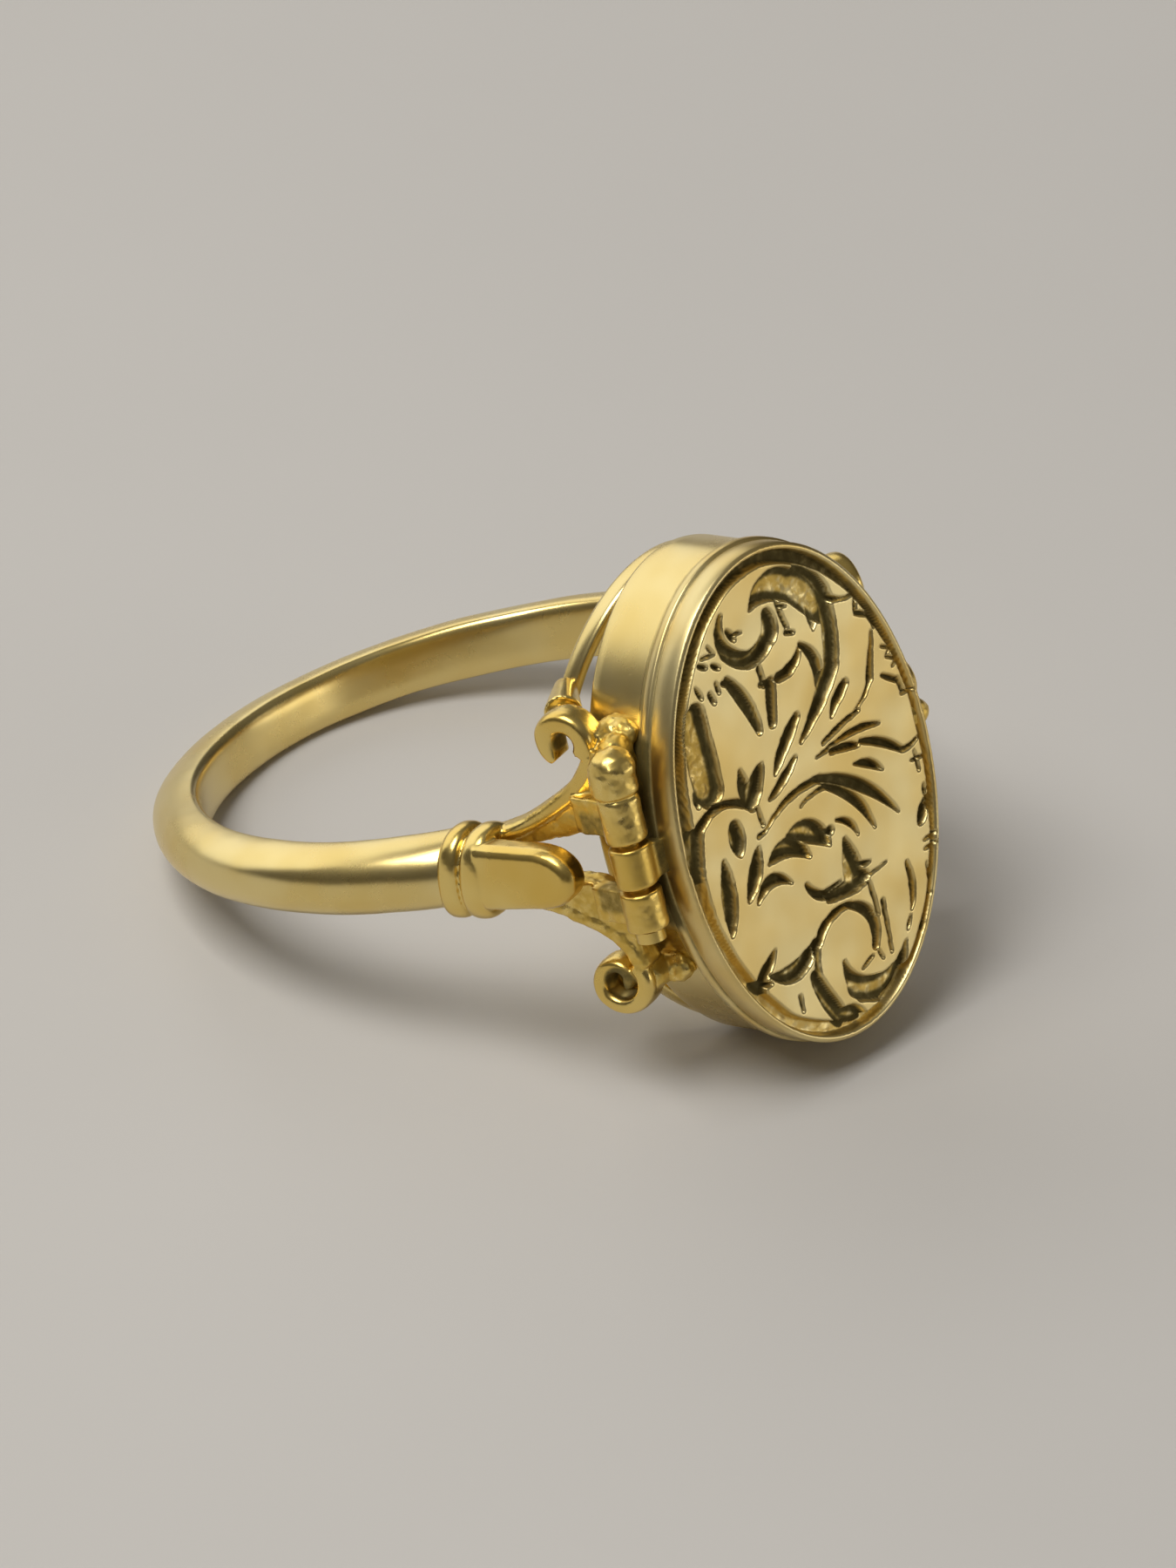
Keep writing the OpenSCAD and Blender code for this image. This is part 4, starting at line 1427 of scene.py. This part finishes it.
    def build(self, space: RingSpace, face: bpy.types.Material,
              worn: bpy.types.Material) -> list[bpy.types.Object]:
        """Builds the lid with its knuckle and catch.

        Args:
            space: the ring's own axes.
            face: the plate's material.
            worn: the material of the knuckle and the catch.

        Returns:
            The lid's pieces.
        """
        made = [self.engraved_plate(space, face)]
        verts, faces, cast = fuse(self.knuckle_shells(), self.voxel, 3)
        leaf_y = 0.4 - self.hinge_y
        # Painted shade on the leaf towards the lid's side, where the gap between knuckle and lid lies in
        # shadow.
        shade_and_tarnish = between(verts[:, 1], leaf_y, leaf_y + 0.15) * 0.85
        made.append(Piece("lid_knuckle", LID, "gold_cast", ("lid",)).add(
            space, verts, faces, worn, {"cast": cast, "patina": shade_and_tarnish}))
        verts, faces, cast = fuse(self.catch_shells(), self.voxel, 4)
        made.append(Piece("thumb_catch", LID, "gold_cast", ("lid",)).add(
            space, verts, faces, worn, {"cast": cast}))
        return made

    def engraved_plate(self, space: RingSpace, finish: bpy.types.Material) -> bpy.types.Object:
        """Builds the lid's face with its sides and its flat underside.

        Args:
            space: the ring's own axes.
            finish: its material.

        Returns:
            The plate.
        """
        flat, quads, loop = self.face_grid()
        depth, patina, cast = self.relief(flat[:, 0], flat[:, 1])
        verts = [np.stack([self.face_x - depth, flat[:, 0], flat[:, 1]], 1)]
        faces = [tuple(q) for q in quads]
        shares = {"patina": [patina], "cast": [cast]}
        across, along = (flat[loop] / self.face_half).T
        angle = np.arctan2(along, across)
        last, base = list(loop), len(flat)
        out, seam = self.flange_out, self.seam_x
        flange = seam + self.flange_h
        # Each row gives its inset, its height and its dark share, where None stands for the painted shade
        # behind the hinge.
        profile = (
            (out - 0.03, self.face_x - 0.09, 0.0), (out - 0.03, flange + 0.12, 0.0),
            (out, flange + 0.04, self.flange_dark), (out - 0.02, flange + 0.01, self.flange_dark),
            (0.02, flange - 0.01, None), (0.0, flange - 0.05, None), (0.0, seam + 0.05, None),
            (0.02, seam + 0.01, None), (0.05, seam, None), (1.6, seam, None))
        for inset, x, dark in profile:
            y, z = (self.half_w - inset) * np.cos(angle), (self.half_l - inset) * np.sin(angle)
            verts.append(np.stack([np.full(len(angle), x), y, z], 1))
            shares["patina"].append(painted_hinge_shade(y, z) if dark is None else np.full(len(angle), dark))
            shares["cast"].append(np.zeros(len(angle)))
            current = list(range(base, base + len(angle)))
            for k in range(len(loop)):
                n = (k + 1) % len(loop)
                faces.append((last[n], last[k], current[k], current[n]))
            last, base = current, base + len(angle)
        faces.append(tuple(reversed(last)))
        return Piece("lid_plate", LID, "gold_satin", ("lid",)).add(
            space, np.vstack(verts), faces, finish, {k: np.concatenate(v) for k, v in shares.items()})

    def knuckle_shells(self) -> list[Shell]:
        """The lid's knuckle and the leaf that ties it to the lid's side.

        Returns:
            Their skins.
        """
        low, high = self.knuckle_z
        barrel = HingeKnuckles(self.hinge_x, self.hinge_y).barrel(low, high, self.knuckle_r)
        near, far = self.hinge_x + 0.04, self.hinge_x + 0.5
        outline = np.array([(near, low + 0.1), (far, low + 0.1), (far, high - 0.1), (near, high - 0.1)])
        return [barrel, plate(outline, -self.hinge_y + 0.1, -self.half_w + 0.3, 0.06, Surface.CAST)]

    def catch_shells(self) -> list[Shell]:
        """The small thumb catch on the rim, opposite the hinge."""
        return [ball((self.face_x - 0.4, self.half_w - 0.08, 0.3), (0.3, 0.46, 0.42), Surface.SOFT, 0.15, 9)]


@dataclass(frozen=True)
class Softbox:
    """One soft studio light."""

    name: str
    place: tuple[float, float, float]
    size: tuple[float, float]
    watts: float
    colour: Colour


@dataclass
class Studio:
    """Pale floor, soft lights and the camera at the photograph's angle.

    The camera's right and down are directions in ring space. A ring millimetre is px_per_mm pixels
    long in an image of that size, and the finger hole's centre falls on centre_px.
    """

    lights: tuple[Softbox, ...] = (
        Softbox("window_light", (-0.37, 0.03, 0.19), (0.60, 0.34), 0.72, (1.0, 0.99, 0.97)),
        Softbox("top_light", (-0.04, -0.16, 0.34), (0.22, 0.20), 0.95, (1.0, 0.98, 0.95)),
        Softbox("far_light", (0.36, 0.27, 0.075), (0.34, 0.14), 0.3, (1.0, 0.96, 0.9)),
    )
    look: str = "Standard"
    surround: float = 0.34
    surround_low: Colour = (0.10, 0.08, 0.06)
    surround_high: Colour = (0.62, 0.60, 0.57)
    paper: tuple[Colour, Colour] = ((0.58, 0.56, 0.53), (0.61, 0.59, 0.56))
    floor_half: float = 0.9
    aim: tuple[float, float, float] = (0.0, 0.0, 0.008)
    right: tuple[float, float, float] = (0.6871, 0.6908, -0.2252)
    down: tuple[float, float, float] = (0.1005, -0.3973, -0.9121)
    px_per_mm: float = 39.165
    centre_px: tuple[float, float] = (569.07, 858.80)
    image: tuple[int, int] = (1350, 1800)
    lens: float = 400.0
    sensor: float = 36.0

    def camera(self, space: RingSpace) -> bpy.types.Object:
        """Makes the camera.

        Args:
            space: the ring's own axes.

        Returns:
            The camera.
        """
        data = bpy.data.cameras.new("camera")
        data.lens, data.sensor_width = self.lens, self.sensor
        data.clip_start, data.clip_end = 0.01, 10.0
        obj = bpy.data.objects.new("camera", data)
        bpy.context.scene.collection.objects.link(obj)
        right, down = space.direction(*self.right), space.direction(*self.down)
        down = (down - right * down.dot(right)).normalized()
        ahead = right.cross(down)
        focal_px = self.image[1] * self.lens / self.sensor
        far = focal_px / self.px_per_mm * MM
        shift = [(self.image[i] / 2 - self.centre_px[i]) / self.px_per_mm * MM for i in (0, 1)]
        spot = space.point(0, 0, 0) + right * shift[0] + down * shift[1] - ahead * far
        turn = Matrix((right, -down, -ahead)).transposed()
        obj.matrix_world = Matrix.Translation(spot) @ turn.to_4x4()
        bpy.context.scene.camera = obj
        return obj

    def floor(self) -> bpy.types.Object:
        """Makes the plain pale floor.

        Returns:
            The floor.
        """
        mesh = bpy.data.meshes.new("floor")
        half = self.floor_half
        corners = [(-half, -half, 0), (half, -half, 0), (half, half, 0), (-half, half, 0)]
        mesh.from_pydata(corners, [], [(0, 1, 2, 3)])
        material = bpy.data.materials.new("floor_paper")
        bench = NodeBench(material)
        place = bench.node("ShaderNodeTexCoord").outputs["Object"]
        mottle = bench.grain(place, 0.05, 3.0)
        base = bench.blend(mottle, *((*colour, 1.0) for colour in self.paper))
        shader = bench.node("ShaderNodeBsdfPrincipled", {}, {"Base Color": base, "Roughness": 0.85})
        bench.node("ShaderNodeOutputMaterial", {}, {"Surface": shader.outputs[0]})
        mesh.materials.append(material)
        obj = bpy.data.objects.new("floor", mesh)
        bpy.context.scene.collection.objects.link(obj)
        return obj

    def lamp(self, box: Softbox) -> bpy.types.Object:
        """Makes one soft light, aimed at the ring.

        Args:
            box: the light's sizes.

        Returns:
            The light.
        """
        data = bpy.data.lights.new(box.name, "AREA")
        data.shape = "RECTANGLE"
        data.size, data.size_y = box.size
        data.energy = box.watts
        data.color = box.colour
        obj = bpy.data.objects.new(box.name, data)
        bpy.context.scene.collection.objects.link(obj)
        obj.location = box.place
        ahead = Vector(self.aim) - Vector(box.place)
        obj.rotation_euler = ahead.to_track_quat("-Z", "Y").to_euler()
        return obj

    def sky(self) -> None:
        """A dim warm surround, a little lighter overhead."""
        world = bpy.data.worlds.new("surround")
        bench = NodeBench(world)
        place = bench.node("ShaderNodeTexCoord").outputs["Generated"]
        height = bench.node("ShaderNodeSeparateXYZ", {}, {0: place}).outputs["Z"]
        stops = ((0.0, self.surround_low), (1.0, self.surround_high))
        glow = bench.node("ShaderNodeValToRGB", {"stops": stops}, {0: height}).outputs[0]
        light = bench.node("ShaderNodeBackground", {}, {"Color": glow, "Strength": self.surround})
        bench.node("ShaderNodeOutputWorld", {}, {"Surface": light.outputs[0]})
        bpy.context.scene.world = world

    def build(self, space: RingSpace) -> None:
        """Builds the whole studio.

        Args:
            space: the ring's own axes.
        """
        self.camera(space)
        self.floor()
        for box in self.lights:
            self.lamp(box)
        self.sky()
        bpy.context.scene.view_settings.view_transform = self.look


def main() -> None:
    """Builds the studio and the ring, piece by piece."""
    logging.basicConfig(level=logging.INFO, format="%(message)s")
    lid = Lid()
    space = RingSpace.from_joint(lid.hinge_x, lid.hinge_y)
    polished, satin, worn = POLISHED_GOLD.material(), SATIN_GOLD.material(), WORN_GOLD.material()
    Studio().build(space)
    Band().build(space, polished)
    CastWork().build(space, worn)
    Box().build(space, polished)
    Gallery().build(space, polished)
    lid.build(space, satin, worn)
    pin = frame["nodes"]["hinge_pin"]
    for slot in pin.material_slots:
        slot.material = worn
    log.info("hinge_pin: dressed as packed")
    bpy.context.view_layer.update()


if __name__ == "__main__":
    main()
